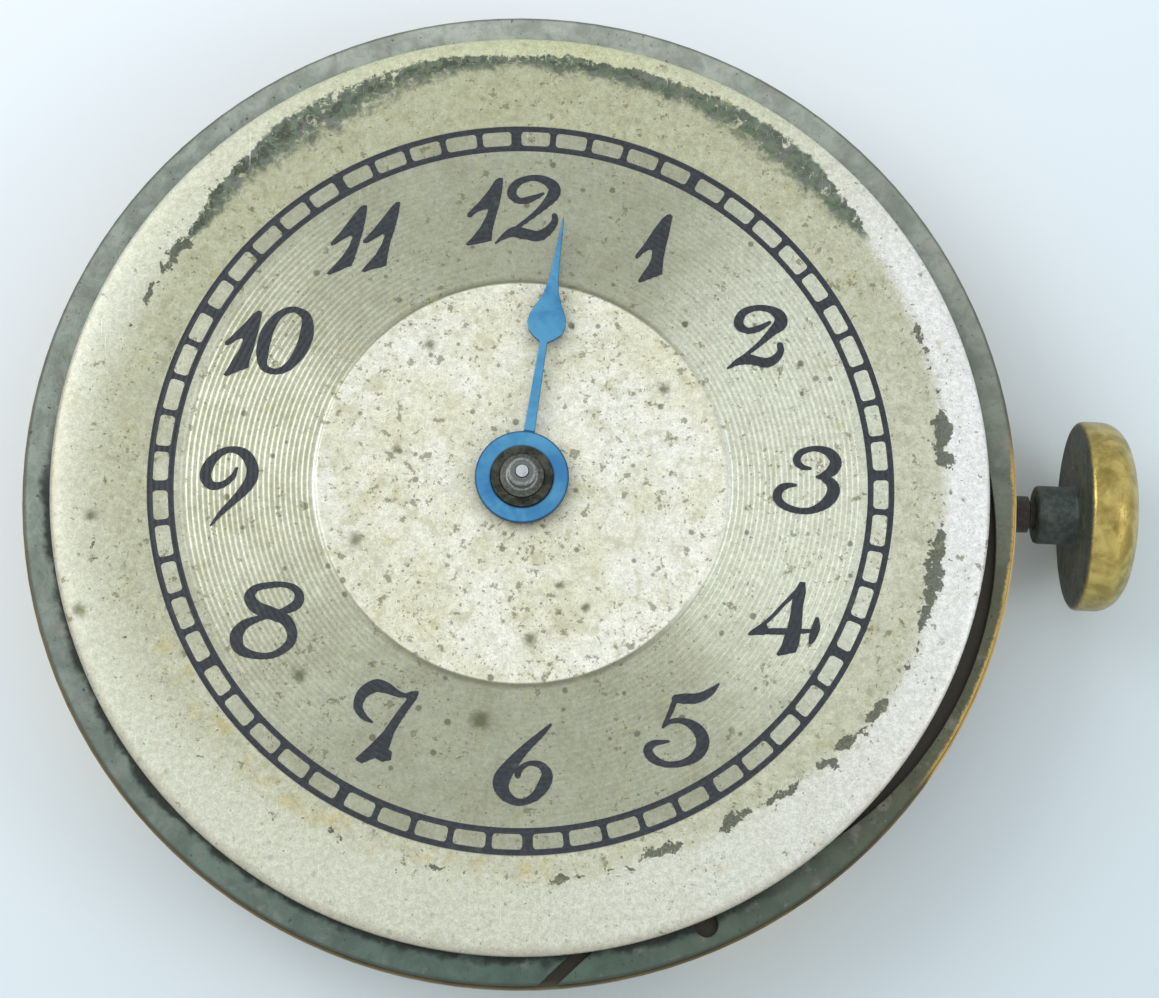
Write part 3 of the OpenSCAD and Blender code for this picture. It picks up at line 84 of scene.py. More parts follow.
class Look:
    """A node material whose patterns are worked out from the object's own millimetres."""

    def __init__(self, name, turn=0.0):
        self.material = bpy.data.materials.new(name)
        self.material.use_nodes = True
        self.nodes = self.material.node_tree.nodes
        self.links = self.material.node_tree.links
        self.shader = self.nodes["Principled BSDF"]
        place = self.nodes.new("ShaderNodeTexCoord").outputs["Object"]
        self.place = self.vector("MULTIPLY", place, (1 / MM,) * 3)
        self.turn = math.degrees(turn)
        if turn:
            spin = self.nodes.new("ShaderNodeVectorRotate")
            spin.rotation_type = "Z_AXIS"
            self.feed(spin.inputs["Vector"], self.place)
            spin.inputs["Angle"].default_value = -turn
            self.place = spin.outputs[0]
        self.bumped = None

    def feed(self, socket, value):
        if isinstance(value, bpy.types.NodeSocket):
            self.links.new(value, socket)
        elif socket.type == "RGBA":
            socket.default_value = (*value[:3], 1.0)
        else:
            socket.default_value = value

    def math(self, how, *values):
        n = self.nodes.new("ShaderNodeMath")
        n.operation = how
        for socket, value in zip(n.inputs, values):
            self.feed(socket, value)
        return n.outputs[0]

    def chain(self, how, values):
        total = values[0]
        for value in values[1:]:
            total = self.math(how, total, value)
        return total

    def add(self, *values):
        return self.chain("ADD", values)

    def times(self, *values):
        return self.chain("MULTIPLY", values)

    def most(self, *values):
        return self.chain("MAXIMUM", values)

    def less(self, a, b):
        return self.math("SUBTRACT", a, b)

    def vector(self, how, *values):
        n = self.nodes.new("ShaderNodeVectorMath")
        n.operation = how
        for socket, value in zip(n.inputs, values):
            self.feed(socket, value)
        return n.outputs["Value" if how in ("LENGTH", "DOT_PRODUCT") else "Vector"]

    def split(self, value):
        n = self.nodes.new("ShaderNodeSeparateXYZ")
        self.feed(n.inputs[0], value)
        return n.outputs

    def at(self, seed, stretch=(1, 1, 1)):
        """The place, stretched, and moved apart for each seed."""
        moved = self.vector("DIVIDE", self.place, stretch)
        return self.vector("ADD", moved, (seed * 7.31, seed * 3.17, seed * 5.73))

    def noise(self, size, detail, rough, seed=0, stretch=(1, 1, 1), warp=0.0):
        """Cloudy noise with patches of about this size in millimetres."""
        n = self.nodes.new("ShaderNodeTexNoise")
        self.feed(n.inputs["Vector"], self.at(seed, stretch))
        numbers = {"Scale": 1 / size, "Detail": detail, "Roughness": rough, "Distortion": warp}
        for key, value in numbers.items():
            n.inputs[key].default_value = value
        return n.outputs["Fac"]

    def specks(self, size, share, radius, seed):
        """Round specks in a share of the cells, with a different size in each."""
        n = self.nodes.new("ShaderNodeTexVoronoi")
        self.feed(n.inputs["Vector"], self.at(seed))
        n.inputs["Scale"].default_value = 1 / size
        red, green, _ = self.split(n.outputs["Color"])
        reach = self.times(self.step(green, 0.0, 1.0), radius)
        spot = self.step(self.less(reach, n.outputs["Distance"]), 0.0, 0.12)
        return self.times(spot, self.step(red, share, share - 0.02))

    def step(self, value, low, high):
        """0 at low and 1 at high, with a smooth change between."""
        n = self.nodes.new("ShaderNodeMapRange")
        n.interpolation_type = "SMOOTHSTEP"
        flip = float(low > high)
        for socket, v in zip(n.inputs, (value, min(low, high), max(low, high), flip, 1 - flip)):
            self.feed(socket, v)
        return n.outputs[0]

    def mix(self, share, a, b):
        """A colour between a and b."""
        n = self.nodes.new("ShaderNodeMix")
        n.data_type = "RGBA"
        for socket, value in zip((n.inputs[0], n.inputs[6], n.inputs[7]), (share, a, b)):
            self.feed(socket, value)
        return n.outputs[2]

    def over(self, colour, paint, *share):
        """A colour with paint over a share of it, the product of the values."""
        return self.mix(self.times(*share), colour, paint)

    def blend(self, share, a, b):
        """A number between a and b."""
        n = self.nodes.new("ShaderNodeMix")
        for socket, value in zip(n.inputs[:1] + n.inputs[2:4], (share, a, b)):
            self.feed(socket, value)
        return n.outputs[0]

    def flat(self, centre=(0, 0, 0)):
        return self.vector("MULTIPLY", self.vector("SUBTRACT", self.place, centre), (1, 1, 0))

    def radius(self, centre=(0, 0, 0)):
        return self.vector("LENGTH", self.flat(centre))

    def heading(self, degrees, half, soft):
        """1 inside a sector that reaches half its opening to each side of a bearing."""
        a = math.radians(degrees)
        way = self.vector("DOT_PRODUCT", self.vector("NORMALIZE", self.flat()), (math.cos(a), math.sin(a), 0))
        return self.step(way, math.cos(math.radians(min(half + soft, 180))), math.cos(math.radians(half)))

    def around(self, stops):
        """A colour that changes with the bearing, from (degrees, colour) stops between -180 and 180."""
        x, y, _ = self.split(self.place)
        n = self.nodes.new("ShaderNodeValToRGB")
        self.feed(n.inputs[0], self.math("MULTIPLY_ADD", self.math("ARCTAN2", y, x), 1 / math.tau, 0.5))
        marks = n.color_ramp.elements
        while len(marks) < len(stops):
            marks.new(1.0)
        for mark, (degrees, value) in zip(marks, stops):
            mark.position = min(max((degrees - self.turn + 180) / 360, 0.0), 1.0)
            mark.color = (*value, 1.0)
        return n.outputs[0]

    def level(self):
        """1 where the surface looks straight up."""
        return self.split(self.nodes.new("ShaderNodeNewGeometry").outputs["True Normal"])[2]

    def bump(self, height):
        """height is in millimetres."""
        n = self.nodes.new("ShaderNodeBump")
        n.inputs["Strength"].default_value = 1.0
        n.inputs["Distance"].default_value = MM
        self.feed(n.inputs["Height"], height)
        if self.bumped:
            self.links.new(self.bumped, n.inputs["Normal"])
        self.bumped = n.outputs[0]

    def finish(self, colour, rough, metal, **flat):
        self.feed(self.shader.inputs["Base Color"], colour)
        self.feed(self.shader.inputs["Roughness"], rough)
        self.feed(self.shader.inputs["Metallic"], metal)
        if self.bumped:
            self.links.new(self.bumped, self.shader.inputs["Normal"])
        for key, value in flat.items():
            self.shader.inputs[FLAT[key]].default_value = value
        return self.material


def metal_look(name, bright, dull, dirt, rough, metal=1.0, size=1.0, tarnish=0.35, dirty=0.15, grain=None,
               pits=0.25, seed=0):
    """Worn metal: cloudy tarnish, dirt in patches, pits, fine scratches and a grain direction."""
    m = Look(name)
    cloud = m.noise(1.1 * size, 5, 0.62, seed, warp=0.4)
    fine = m.noise(0.09 * size, 3, 0.6, seed + 1)
    patch = m.step(m.noise(0.55 * size, 4, 0.6, seed + 2), 0.62 - 0.25 * dirty, 0.74)
    worn = m.step(cloud, 0.62 - 0.3 * tarnish, 0.8 - 0.2 * tarnish)
    colour = m.mix(worn, bright, dull)
    colour = m.over(colour, dirt, patch, min(1.0, dirty * 3))
    spots = m.specks(0.34 * size, pits, 0.34, seed + 3)
    colour = m.over(colour, dirt, spots, 0.8)
    colour = m.mix(m.step(fine, 0.35, 0.75), m.mix(0.86, (0, 0, 0), colour), colour)
    if grain == "circle":
        lines = m.noise(0.02, 1, 0.5, seed + 4)
        ring = m.math("SINE", m.times(m.radius(), 42.0))
        lines = m.add(m.times(ring, 0.1), lines)
    else:
        stretch = {"x": (14, 1, 1), "y": (1, 14, 1)}.get(grain, (6, 1, 1))
        lines = m.noise(0.03, 2, 0.6, seed + 4, stretch=stretch)
    scratch = m.step(m.noise(0.05, 2, 0.5, seed + 5, stretch=(22, 1.4, 3), warp=0.3), 0.7, 0.78)
    roughness = m.add(rough, m.times(worn, 0.16), m.times(patch, 0.25 * dirty), m.times(fine, 0.14),
                      m.times(scratch, 0.1))
    m.bump(m.times(lines, 0.0011))
    m.bump(m.add(m.times(fine, 0.0025), m.times(spots, -0.006), m.times(scratch, -0.002)))
    return m.finish(colour, roughness, m.blend(m.times(patch, dirty), metal, metal * 0.35))


# Round the dial, as (bearing, radius of the wear line, width of the smear, softness of the line)
WEAR = (
    (-180, 12.7, 0, 1.0), (-150, 12.2, 0, 1.0), (-125, 11.75, 0, 0.6), (-102, 11.5, 0, 0.4),
    (-83, 11.7, 0, 0.4), (-69, 11.5, 0, 0.4), (-54, 11.7, 0, 0.4), (-44, 11.95, 0, 0.35),
    (-34, 12.25, 0, 0.35), (-25, 12.42, 0, 0.35), (-10, 12.3, 0, 0.35), (10, 12.48, 0, 0.35),
    (24, 12.56, 0, 0.35), (36, 12.66, 0, 0.3), (40, 12.7, 0.25, 0.25), (45, 12.78, 0.5, 0.2),
    (54, 12.92, 0.72, 0.16), (61, 12.97, 0.62, 0.16), (68, 12.95, 0.45, 0.16), (78, 12.94, 0.42, 0.2),
    (87, 13.0, 0.34, 0.2), (92, 13.03, 0.2, 0.2), (97, 13.05, 0.3, 0.2), (104, 13.06, 0.46, 0.16),
    (111, 12.95, 0.55, 0.14), (118, 12.82, 0.8, 0.14), (127, 12.74, 0.72, 0.14), (134, 12.66, 0.46, 0.16),
    (140, 12.45, 0.34, 0.2), (146, 12.35, 0.14, 0.3), (152, 12.35, 0, 0.7), (180, 12.7, 0, 1.0)
)
# A ramp holds values from 0 to 1 only, so the line's radius and the smear's width are scaled into it
LINE_LOW, LINE_SPAN, SMEAR_SPAN = 11.0, 3.0, 1.2
# How much corrosion sits on the line, as (bearing, amount)
CORROSION = (
    (-180, 0.2), (-166, 0.3), (-158, 0.05), (-122, 0.05), (-117, 0.5), (-112, 0.1), (-104, 0.15),
    (-101, 0.65), (-96, 0.05), (-86, 0.4), (-76, 0.5), (-69, 0.85), (-64, 0.4), (-55, 0.5), (-46, 0.6),
    (-40, 0.75), (-34, 0.85), (-29, 0.35), (-25, 0.6), (-20, 0.4), (-14, 1.0), (-7, 1.0), (-3, 0.35),
    (1, 0.3), (5, 1.0), (10, 1.0), (13, 0.1), (19, 0.6), (24, 0.4), (30, 0.1), (147, 0.7), (165, 0.2)
)
# How the silvering aged, as (bearing, how clean the zone inside the line, how bright and how yellow the rim)
AGE = (
    (-180, 0.4, 0, 0), (-120, 0.77, 0, 0), (-90, 0.9, 0, 0), (-45, 0.6, 0.45, 0), (0, 1.0, 1.0, 0),
    (32, 0.6, 0.9, 0), (58, 0.3, 0.35, 0.5), (85, 0.12, 0, 1.0), (110, 0.15, 0.05, 0.7),
    (135, 0.25, 0.05, 0.2), (160, 0.28, 0.1, 0), (180, 0.4, 0, 0)
)
# Single dark spots on the dial, as (radius, bearing, size)
SPOTS = (
    (7.15, -100.5, 0.42), (4.74, -88, 0.36), (5.16, -160.6, 0.34), (4.9, 122.7, 0.3), (4.2, -65, 0.22),
    (3.3, -72, 0.2), (5.0, 33, 0.26), (2.3, -60, 0.16), (3.8, 165, 0.22), (9.4, -40, 0.12), (8.9, 22, 0.14),
    (13.3, -164, 0.3), (12.55, -176, 0.3), (8.6, -139, 0.34)
)
# The ring's patina, as (bearing, share of grey over green, share of brown)
PATINA = (
    (-180, 0.56, 0), (-150, 0.38, 0), (-125, 0.16, 0), (-90, 0, 0), (-60, 0, 0.4), (-35, 0, 0.9),
    (-12, 0, 1.0), (6, 0.28, 0.8), (28, 0.58, 0.5), (50, 0.7, 0.2), (80, 1.0, 0), (110, 0.9, 0),
    (140, 0.63, 0), (180, 0.56, 0)
)
# The sector where ring and flange are rubbed bare: bearing, half opening and soft edge, in degrees
RUBBED = (-14, 16, 8)
# The dial's turned grooves: pitch in millimetres and number
GROOVE, GROOVES = 0.16, 24


def silvered_dial():
    m = Look("silvered_dial_worn", DIAL_TURN)
    r = m.radius()
    ragged = m.noise(0.34, 5, 0.68, 8, warp=0.5)
    broad = m.noise(1.25, 3, 0.6, 9)
    cloud = m.noise(1.7, 5, 0.6, 1, warp=0.5)
    mottle = m.noise(0.17, 4, 0.65, 2)
    grain = m.noise(0.06, 3, 0.6, 4)
    stops = [(d, ((c - LINE_LOW) / LINE_SPAN, w / SMEAR_SPAN, k)) for d, c, w, k in WEAR]
    line, width, soft = m.split(m.around(stops))
    amount, _, _ = m.split(m.around([(d, (k, k, k)) for d, k in CORROSION]))
    uneven = m.times(m.less(m.times(m.add(ragged, broad), 0.5), 0.5), 0.75)
    past = m.less(m.add(r, uneven), m.add(LINE_LOW, m.times(line, LINE_SPAN)))

    disc = m.step(r, DISC_R + 0.03, DISC_R - 0.03)
    outer = m.step(r, TRACK_R - 0.02, TRACK_R + 0.06)
    rim = m.times(m.step(m.math("DIVIDE", past, soft), -0.9, 1.0), outer)

    # Grounds: turned numeral zone, cream disc, olive zone and paler rim
    colour = m.mix(m.step(cloud, 0.35, 0.7), tone(212, 213, 190), tone(190, 190, 164))
    # Painted sheen on the turned zone: darker at the top and bottom and lighter at the right, as the grooves'
    # reflection looks
    across = m.math("ABSOLUTE", m.split(m.vector("NORMALIZE", m.flat()))[1])
    colour = m.over(colour, tone(150, 152, 130), m.step(across, 0.3, 1.0), 0.56)
    colour = m.over(colour, tone(232, 233, 214), m.heading(2, 20, 40), 0.75)
    shade = m.mix(m.step(m.noise(2.4, 4, 0.62, 6), 0.38, 0.66), tone(255, 254, 240), tone(238, 236, 208))
    colour = m.mix(disc, colour, shade)
    clean, bright, yellow = m.split(m.around([(d, shares) for d, *shares in AGE]))
    zone = m.mix(clean, tone(196, 198, 164), tone(222, 223, 200))
    zone = m.mix(m.step(m.noise(0.6, 5, 0.65, 7), 0.36, 0.68), zone, m.mix(0.8, tone(132, 126, 84), zone))
    zone = m.over(zone, tone(140, 136, 92), m.step(m.noise(0.3, 4, 0.7, 26), 0.46, 0.7), 0.34)
    colour = m.mix(outer, colour, zone)
    # Painted shade and highlight on the disc's raised edge: dark at the top and bottom, a bright glint at the
    # left and right
    ring = m.times(m.step(r, DISC_R - 0.05, DISC_R + 0.02), m.step(r, DISC_R + 0.24, DISC_R + 0.06))
    colour = m.over(colour, tone(104, 104, 82), ring, m.step(across, 0.45, 0.95), 0.6)
    colour = m.over(colour, tone(252, 253, 246), ring, m.step(across, 0.5, 0.0), 0.6)
    ochre = m.times(m.step(m.noise(0.75, 4, 0.6, 12), 0.5, 0.66), m.heading(-118, 30, 18),
                    m.step(r, 10.9, 11.1), m.step(r, 12.1, 11.5))
    colour = m.over(colour, tone(206, 186, 120), ochre, 0.6)
    edge = m.mix(bright, tone(221, 223, 203), tone(255, 255, 252))
    edge = m.mix(yellow, edge, tone(216, 218, 178))
    edge = m.mix(m.step(m.noise(0.9, 4, 0.6, 13), 0.45, 0.72), edge, m.mix(0.93, tone(150, 138, 96), edge))
    colour = m.mix(rim, colour, edge)
    # Painted shade where the rolled rim turns down at the lower left
    rolled = m.times(m.step(r, 13.4, 13.74), m.heading(-115, 70, 30))
    colour = m.over(colour, tone(150, 128, 104), rolled, 0.4)
    colour = m.mix(m.step(mottle, 0.34, 0.66), m.mix(0.78, tone(104, 98, 70), colour), colour)
    colour = m.mix(m.step(grain, 0.34, 0.62), m.mix(0.8, tone(96, 92, 66), colour), colour)
    patches = m.times(m.step(m.noise(0.8, 5, 0.68, 27, warp=0.4), 0.52, 0.66), disc)
    colour = m.over(colour, tone(178, 174, 134), patches, 0.42)

    # Green smear under the old bezel at the top, with a sharp outer edge and a faded inner one
    wide = m.most(m.times(width, SMEAR_SPAN), 0.02)
    depth = m.math("DIVIDE", m.add(past, m.times(m.less(mottle, 0.5), 0.3)), wide)
    torn = m.noise(0.38, 5, 0.72, 28, warp=0.4)
    smear = m.times(m.step(m.add(depth, m.times(m.less(torn, 0.5), 2.6)), -1.3, -0.3),
                    m.step(depth, 0.6, 0.44), m.step(width, 0.04, 0.16), m.step(torn, 0.34, 0.44))
    dark = m.mix(m.step(ragged, 0.4, 0.62), tone(46, 64, 50), tone(86, 104, 82))
    sheen = m.over(dark, tone(104, 104, 112), m.step(m.noise(0.45, 3, 0.6, 19), 0.5, 0.64), 0.6)
    sheen = m.over(sheen, tone(146, 182, 140), m.step(m.noise(0.3, 4, 0.7, 20), 0.66, 0.74), 0.6)
    # Black corrosion on the wear line, mostly at the right, and stray dots near the line
    away = m.math("ABSOLUTE", past)
    lump = m.noise(0.6, 4, 0.68, 10, warp=0.35)
    level = m.add(m.times(lump, 1.5), m.times(m.less(amount, 0.5), 0.5), m.times(away, -1.0))
    black = m.times(m.step(level, 0.73, 0.8), outer)
    stray = m.times(m.step(m.noise(0.2, 3, 0.6, 11), 0.67, 0.72), m.step(away, 1.0, 0.3), outer)
    black = m.most(black, m.times(stray, 0.8))
    colour = m.over(colour, sheen, smear, m.blend(mottle, 0.98, 0.8))
    crust = m.mix(m.step(grain, 0.35, 0.65), tone(50, 56, 46), tone(88, 94, 76))
    colour = m.over(colour, crust, black, 0.88)

    marks = []
    for reach, bearing, size in SPOTS:
        a = math.radians(bearing)
        apart = m.radius((reach * math.cos(a), reach * math.sin(a), 0))
        marks.append(m.step(m.add(apart, m.times(ragged, 0.5)), size + 0.25, size * 0.4 + 0.16))
    colour = m.over(colour, tone(98, 98, 70), m.most(*marks), 0.85)

    # Foxing: fine irregular specks, thickest on the disc
    inside = m.step(r, TRACK_R, TRACK_R - 0.8)
    crowd = m.times(m.less(m.noise(1.3, 3, 0.6, 18), 0.5), 0.2)
    level = m.add(crowd, m.times(disc, 0.025), m.times(rim, -0.02))
    tiny = m.step(m.add(m.noise(0.13, 3, 0.62, 15), level), 0.65, 0.7)
    small = m.step(m.add(m.noise(0.36, 4, 0.66, 14), level), 0.615, 0.67)
    round_ones = m.times(m.specks(0.42, 0.3, 0.3, 16), m.blend(inside, 0.35, 1.0))
    faint = m.step(m.add(m.noise(0.5, 4, 0.66, 17), level), 0.56, 0.74)
    colour = m.over(colour, tone(180, 172, 122), faint, 0.4)
    colour = m.over(colour, tone(98, 96, 74), tiny, 0.72)
    colour = m.over(colour, tone(116, 112, 82), small, 0.68)
    colour = m.over(colour, tone(92, 90, 68), round_ones, 0.7)
    scratch = m.step(m.noise(0.035, 1, 0.5, 25, stretch=(1.2, 40, 1), warp=0.2), 0.7, 0.76)
    colour = m.over(colour, tone(252, 252, 246), scratch, rim, 0.4)

    rough = m.add(0.3, m.times(grain, 0.16), m.times(disc, 0.05), m.times(outer, 0.05), m.times(black, 0.25))
    m.bump(m.add(m.times(grain, 0.004), m.times(mottle, 0.004), m.times(black, 0.014), m.times(smear, 0.008),
                 m.times(small, -0.006), m.times(scratch, -0.003)))
    turned = m.times(m.step(r, DISC_R, DISC_R + 0.1), m.step(r, TRACK_R, TRACK_R - 0.5))
    return m.finish(colour, rough, m.blend(m.most(black, smear), m.blend(turned, 0.35, 0.7), 0.1))


def printed_ink():
    m = Look("navy_black_print", DIAL_TURN)
    worn = m.noise(0.12, 4, 0.65, 1)
    r = m.radius()
    groove = m.math("SINE", m.times(r, math.tau / GROOVE))
    grooved = m.times(m.step(r, TRACK_R + 0.05, TRACK_R), m.step(r, DISC_R, DISC_R + 0.1))
    colour = m.mix(m.step(worn, 0.34, 0.75), tone(24, 29, 36), tone(50, 56, 64))
    rust = m.step(m.noise(0.5, 4, 0.65, 2), 0.6, 0.72)
    colour = m.over(colour, tone(80, 88, 74), rust, 0.4)
    # Painted highlight on the groove crests through the ink, beside the grooves' bump
    colour = m.over(colour, tone(104, 108, 104), m.step(groove, 0.4, 1.0), grooved, 0.08)
    m.bump(m.add(m.times(groove, grooved, 0.004), m.times(worn, 0.004)))
    return m.finish(colour, m.add(0.38, m.times(worn, 0.25)), 0.0)


def verdigris():
    """The brass ring: grey at the top, green below, brown at the right with a bare edge."""
    m = Look("verdigris_brass")
    r = m.radius()
    cloud = m.noise(1.1, 5, 0.64, 1, warp=0.5)
    grit = m.noise(0.09, 4, 0.7, 2)
    patch = m.step(m.noise(0.42, 5, 0.68, 3, warp=0.4), 0.48, 0.64)
    grey, brown, _ = m.split(m.around([(d, (g, b, 0)) for d, g, b in PATINA]))
    ground = m.mix(brown, tone(84, 104, 94), tone(88, 88, 66))
    ground = m.mix(grey, ground, tone(182, 188, 176))
    deep = m.mix(0.62, tone(34, 50, 40), ground)
    colour = m.mix(m.step(cloud, 0.36, 0.66), ground, deep)
    colour = m.over(colour, m.mix(0.5, tone(52, 70, 58), ground), patch, 0.5)
    rosy = m.step(m.noise(0.6, 4, 0.62, 6), 0.55, 0.7)
    colour = m.over(colour, tone(150, 138, 134), rosy, 0.35)
    bloom = m.step(m.noise(0.2, 5, 0.7, 5), 0.63, 0.74)
    colour = m.over(colour, tone(164, 184, 172), bloom, 0.6)
    spots = m.step(m.noise(0.16, 3, 0.6, 4), 0.66, 0.72)
    colour = m.over(colour, tone(40, 48, 40), spots, 0.7)
    # Painted shade in the gap between the dial's edge and the ring, at the lower left
    near = m.add(r, m.times(m.noise(0.9, 3, 0.6, 7), 0.9))
    painted_gap_shade = m.times(m.step(near, 14.5, 14.26), m.heading(-120, 55, 15))
    colour = m.over(colour, tone(26, 30, 26), painted_gap_shade, 0.9)
    bare = m.times(m.step(m.add(r, m.times(grit, 0.2), m.times(cloud, 0.16)), 14.6, 14.7), m.heading(*RUBBED))
    colour = m.over(colour, tone(58, 60, 48), m.step(r, 14.44, 14.52), 0.6)
    colour = m.mix(bare, colour, tone(192, 164, 100))
    m.bump(m.add(m.times(grit, 0.02), m.times(bloom, 0.01), m.times(spots, -0.014), m.times(patch, 0.01)))
    return m.finish(colour, m.add(0.45, m.times(grit, 0.3)), m.blend(bare, m.blend(patch, 0.4, 0.15), 1.0))


def plate_gilt(name, seed=0, age=0.35):
    """Frosted gilding with stains and pits, green and dark towards its edge: the dark is painted shade under
    the dial's edge and an aged flange.
    """
    m = Look(name)
    r = m.radius()
    cloud = m.noise(2.2, 5, 0.6, seed + 1, warp=0.6)
    frost = m.noise(0.045, 3, 0.65, seed + 2)
    colour = m.mix(m.step(cloud, 0.35, 0.7), tone(222, 190, 124), tone(196, 158, 92))
    stain = m.step(m.noise(0.8, 5, 0.66, seed + 3, warp=0.8), 0.66 - 0.2 * age, 0.8)
    colour = m.over(colour, tone(122, 104, 62), stain, 0.75)
    green = m.times(m.step(m.noise(0.35, 5, 0.7, seed + 4), 0.62, 0.74), m.step(r, 9.5, 13.6))
    colour = m.over(colour, tone(92, 116, 96), green, age)
    pits = m.specks(0.3, 0.22, 0.3, seed + 5)
    colour = m.over(colour, tone(84, 70, 44), pits, 0.6)
    height = m.split(m.place)[2]
    # Painted shade, near black, on the plate under the dial's edge and in its recess
    grime_and_shade = m.times(m.step(r, 12.6, 13.2), m.step(height, -0.46, -0.41), m.step(r, 14.62, 14.56))
    colour = m.over(colour, tone(30, 28, 23), grime_and_shade, 0.96)
    # Only the right of the flange is rubbed bright
    dull = m.times(m.step(r, 14.4, 14.5), m.step(m.heading(*RUBBED), 0.7, 0.3))
    aged = m.mix(m.step(cloud, 0.4, 0.6), tone(86, 80, 58), tone(62, 66, 52))
    colour = m.over(colour, aged, dull, 0.8)
    colour = m.mix(m.step(frost, 0.3, 0.7), m.mix(0.86, tone(96, 74, 40), colour), colour)
    rough = m.add(0.34, m.times(frost, 0.2), m.times(stain, 0.15))
    m.bump(m.add(m.times(frost, 0.005), m.times(pits, -0.008)))
    # Less metallic in the painted shade under the dial, in the green, the stains and on the aged flange
    dirty = m.most(grime_and_shade, m.times(green, age), m.times(stain, 0.3), m.times(dull, 0.6))
    return m.finish(colour, rough, m.blend(dirty, 0.95, 0.2))


def snailed(name, centre, seed):
    """Steel wheel face with a curved grain swept round its own centre."""
    m = Look(name)
    dx, dy, _ = m.split(m.vector("SUBTRACT", m.place, (*centre, 0)))
    r = m.radius((*centre, 0))
    angle = m.math("ARCTAN2", dy, dx)
    sweep = m.math("SINE", m.add(m.times(angle, 46.0), m.times(r, 5.5)))
    grain = m.noise(0.03, 3, 0.6, seed)
    worn = m.noise(0.7, 4, 0.6, seed + 1)
    colour = m.mix(m.step(worn, 0.35, 0.7), tone(196, 198, 200), tone(158, 158, 154))
    rust = m.step(m.noise(0.4, 5, 0.7, seed + 2), 0.66, 0.76)
    colour = m.over(colour, tone(118, 92, 66), rust, 0.5)
    m.bump(m.add(m.times(sweep, 0.004), m.times(grain, 0.002), m.times(rust, 0.004)))
    return m.finish(colour, m.add(0.2, m.times(grain, 0.16), m.times(rust, 0.25)), m.blend(rust, 1.0, 0.6),
                    anisotropic=0.4)


def worn_gold():
    m = Look("worn_gold_crown")
    x, _, _ = m.split(m.place)
    cloud = m.noise(0.7, 5, 0.62, 1, warp=0.5)
    fine = m.noise(0.07, 4, 0.65, 2)
    colour = m.mix(m.step(cloud, 0.34, 0.64), tone(204, 180, 108), tone(158, 138, 76))
    brown = m.step(m.noise(0.9, 5, 0.62, 3, warp=0.4), 0.46, 0.72)
    colour = m.over(colour, tone(110, 94, 52), brown, 0.6)
    pits = m.step(m.noise(0.15, 4, 0.66, 4), 0.7, 0.76)
    colour = m.over(colour, tone(64, 58, 40), pits, 0.6)
    # The inner face and pipe kept their dirt
    inner = m.step(m.add(x, m.times(fine, 0.12)), CROWN_X + 0.16, CROWN_X + 0.06)
    grime_and_shade = m.mix(m.step(m.noise(0.3, 5, 0.7, 5), 0.36, 0.66), tone(48, 58, 56), tone(78, 88, 82))
    colour = m.mix(inner, colour, grime_and_shade)
    scratch = m.step(m.noise(0.04, 2, 0.5, 6, stretch=(1, 16, 6), warp=0.3), 0.68, 0.76)
    m.bump(m.add(m.times(fine, 0.008), m.times(pits, -0.012), m.times(scratch, -0.005),
                 m.times(brown, 0.004)))
    rough = m.add(0.2, m.times(cloud, 0.12), m.times(brown, 0.12), m.times(inner, 0.3))
    return m.finish(colour, rough, m.blend(m.most(inner, m.times(brown, 0.2)), 1.0, 0.35))


def hub_steel():
    """Cannon pinion: a dirty shoulder, a dull seat and a tip that still shines."""
    m = Look("hub_steel")
    r = m.radius()
    grit = m.noise(0.07, 4, 0.7, 1)
    height = m.split(m.place)[2]
    colour = m.mix(m.step(grit, 0.36, 0.64), tone(56, 58, 52), tone(98, 100, 90))
    seat = m.times(m.step(r, 0.5, 0.43), m.step(height, 1.0, 1.1))
    colour = m.mix(seat, colour, m.mix(m.step(grit, 0.4, 0.6), tone(128, 130, 128), tone(168, 170, 166)))
    tip = m.times(m.step(r, 0.36, 0.32), m.step(height, 1.5, 1.55))
    colour = m.over(colour, tone(96, 98, 96), tip, 0.8)
    m.bump(m.times(grit, 0.012))
    return m.finish(colour, m.add(0.3, m.times(grit, 0.3)), m.blend(seat, 0.35, 0.9))


def blued(name, bright, deep, rough, seed=0, collar=0.0):
    """Heat-blued steel with violet and pale places; on a collar of this radius, painted shade as dark rims
    and on the faces that don't look up.
    """
    m = Look(name)
    cloud = m.noise(0.9, 4, 0.6, seed + 1, warp=0.4)
    fine = m.noise(0.05, 3, 0.6, seed + 2)
    colour = m.mix(m.step(cloud, 0.34, 0.68), bright, deep)
    violet = m.step(m.noise(0.35, 4, 0.6, seed + 3), 0.62, 0.76)
    colour = m.over(colour, tone(74, 78, 150), violet, 0.4)
    bare = m.step(m.noise(0.14, 4, 0.7, seed + 4), 0.7, 0.78)
    colour = m.over(colour, tone(176, 186, 184), bare, 0.6)
    if collar:
        r = m.radius()
        # Painted shade: dark rims at the collar's edge and bore, and darker where the surface doesn't face up
        bore = m.times(m.step(r, 0.98, 0.91), m.step(r, 0.8, 0.9))
        rims = m.most(m.step(r, collar - 0.07, collar - 0.01), bore)
        colour = m.over(colour, tone(22, 34, 66), rims, m.step(r, collar + 0.05, collar + 0.02), 0.75)
        colour = m.over(colour, tone(18, 44, 92), m.step(m.level(), 0.985, 0.8), 0.8)
    m.bump(m.add(m.times(fine, 0.003), m.times(bare, -0.002)))
    return m.finish(colour, m.add(rough, m.times(fine, 0.14)), 0.8)


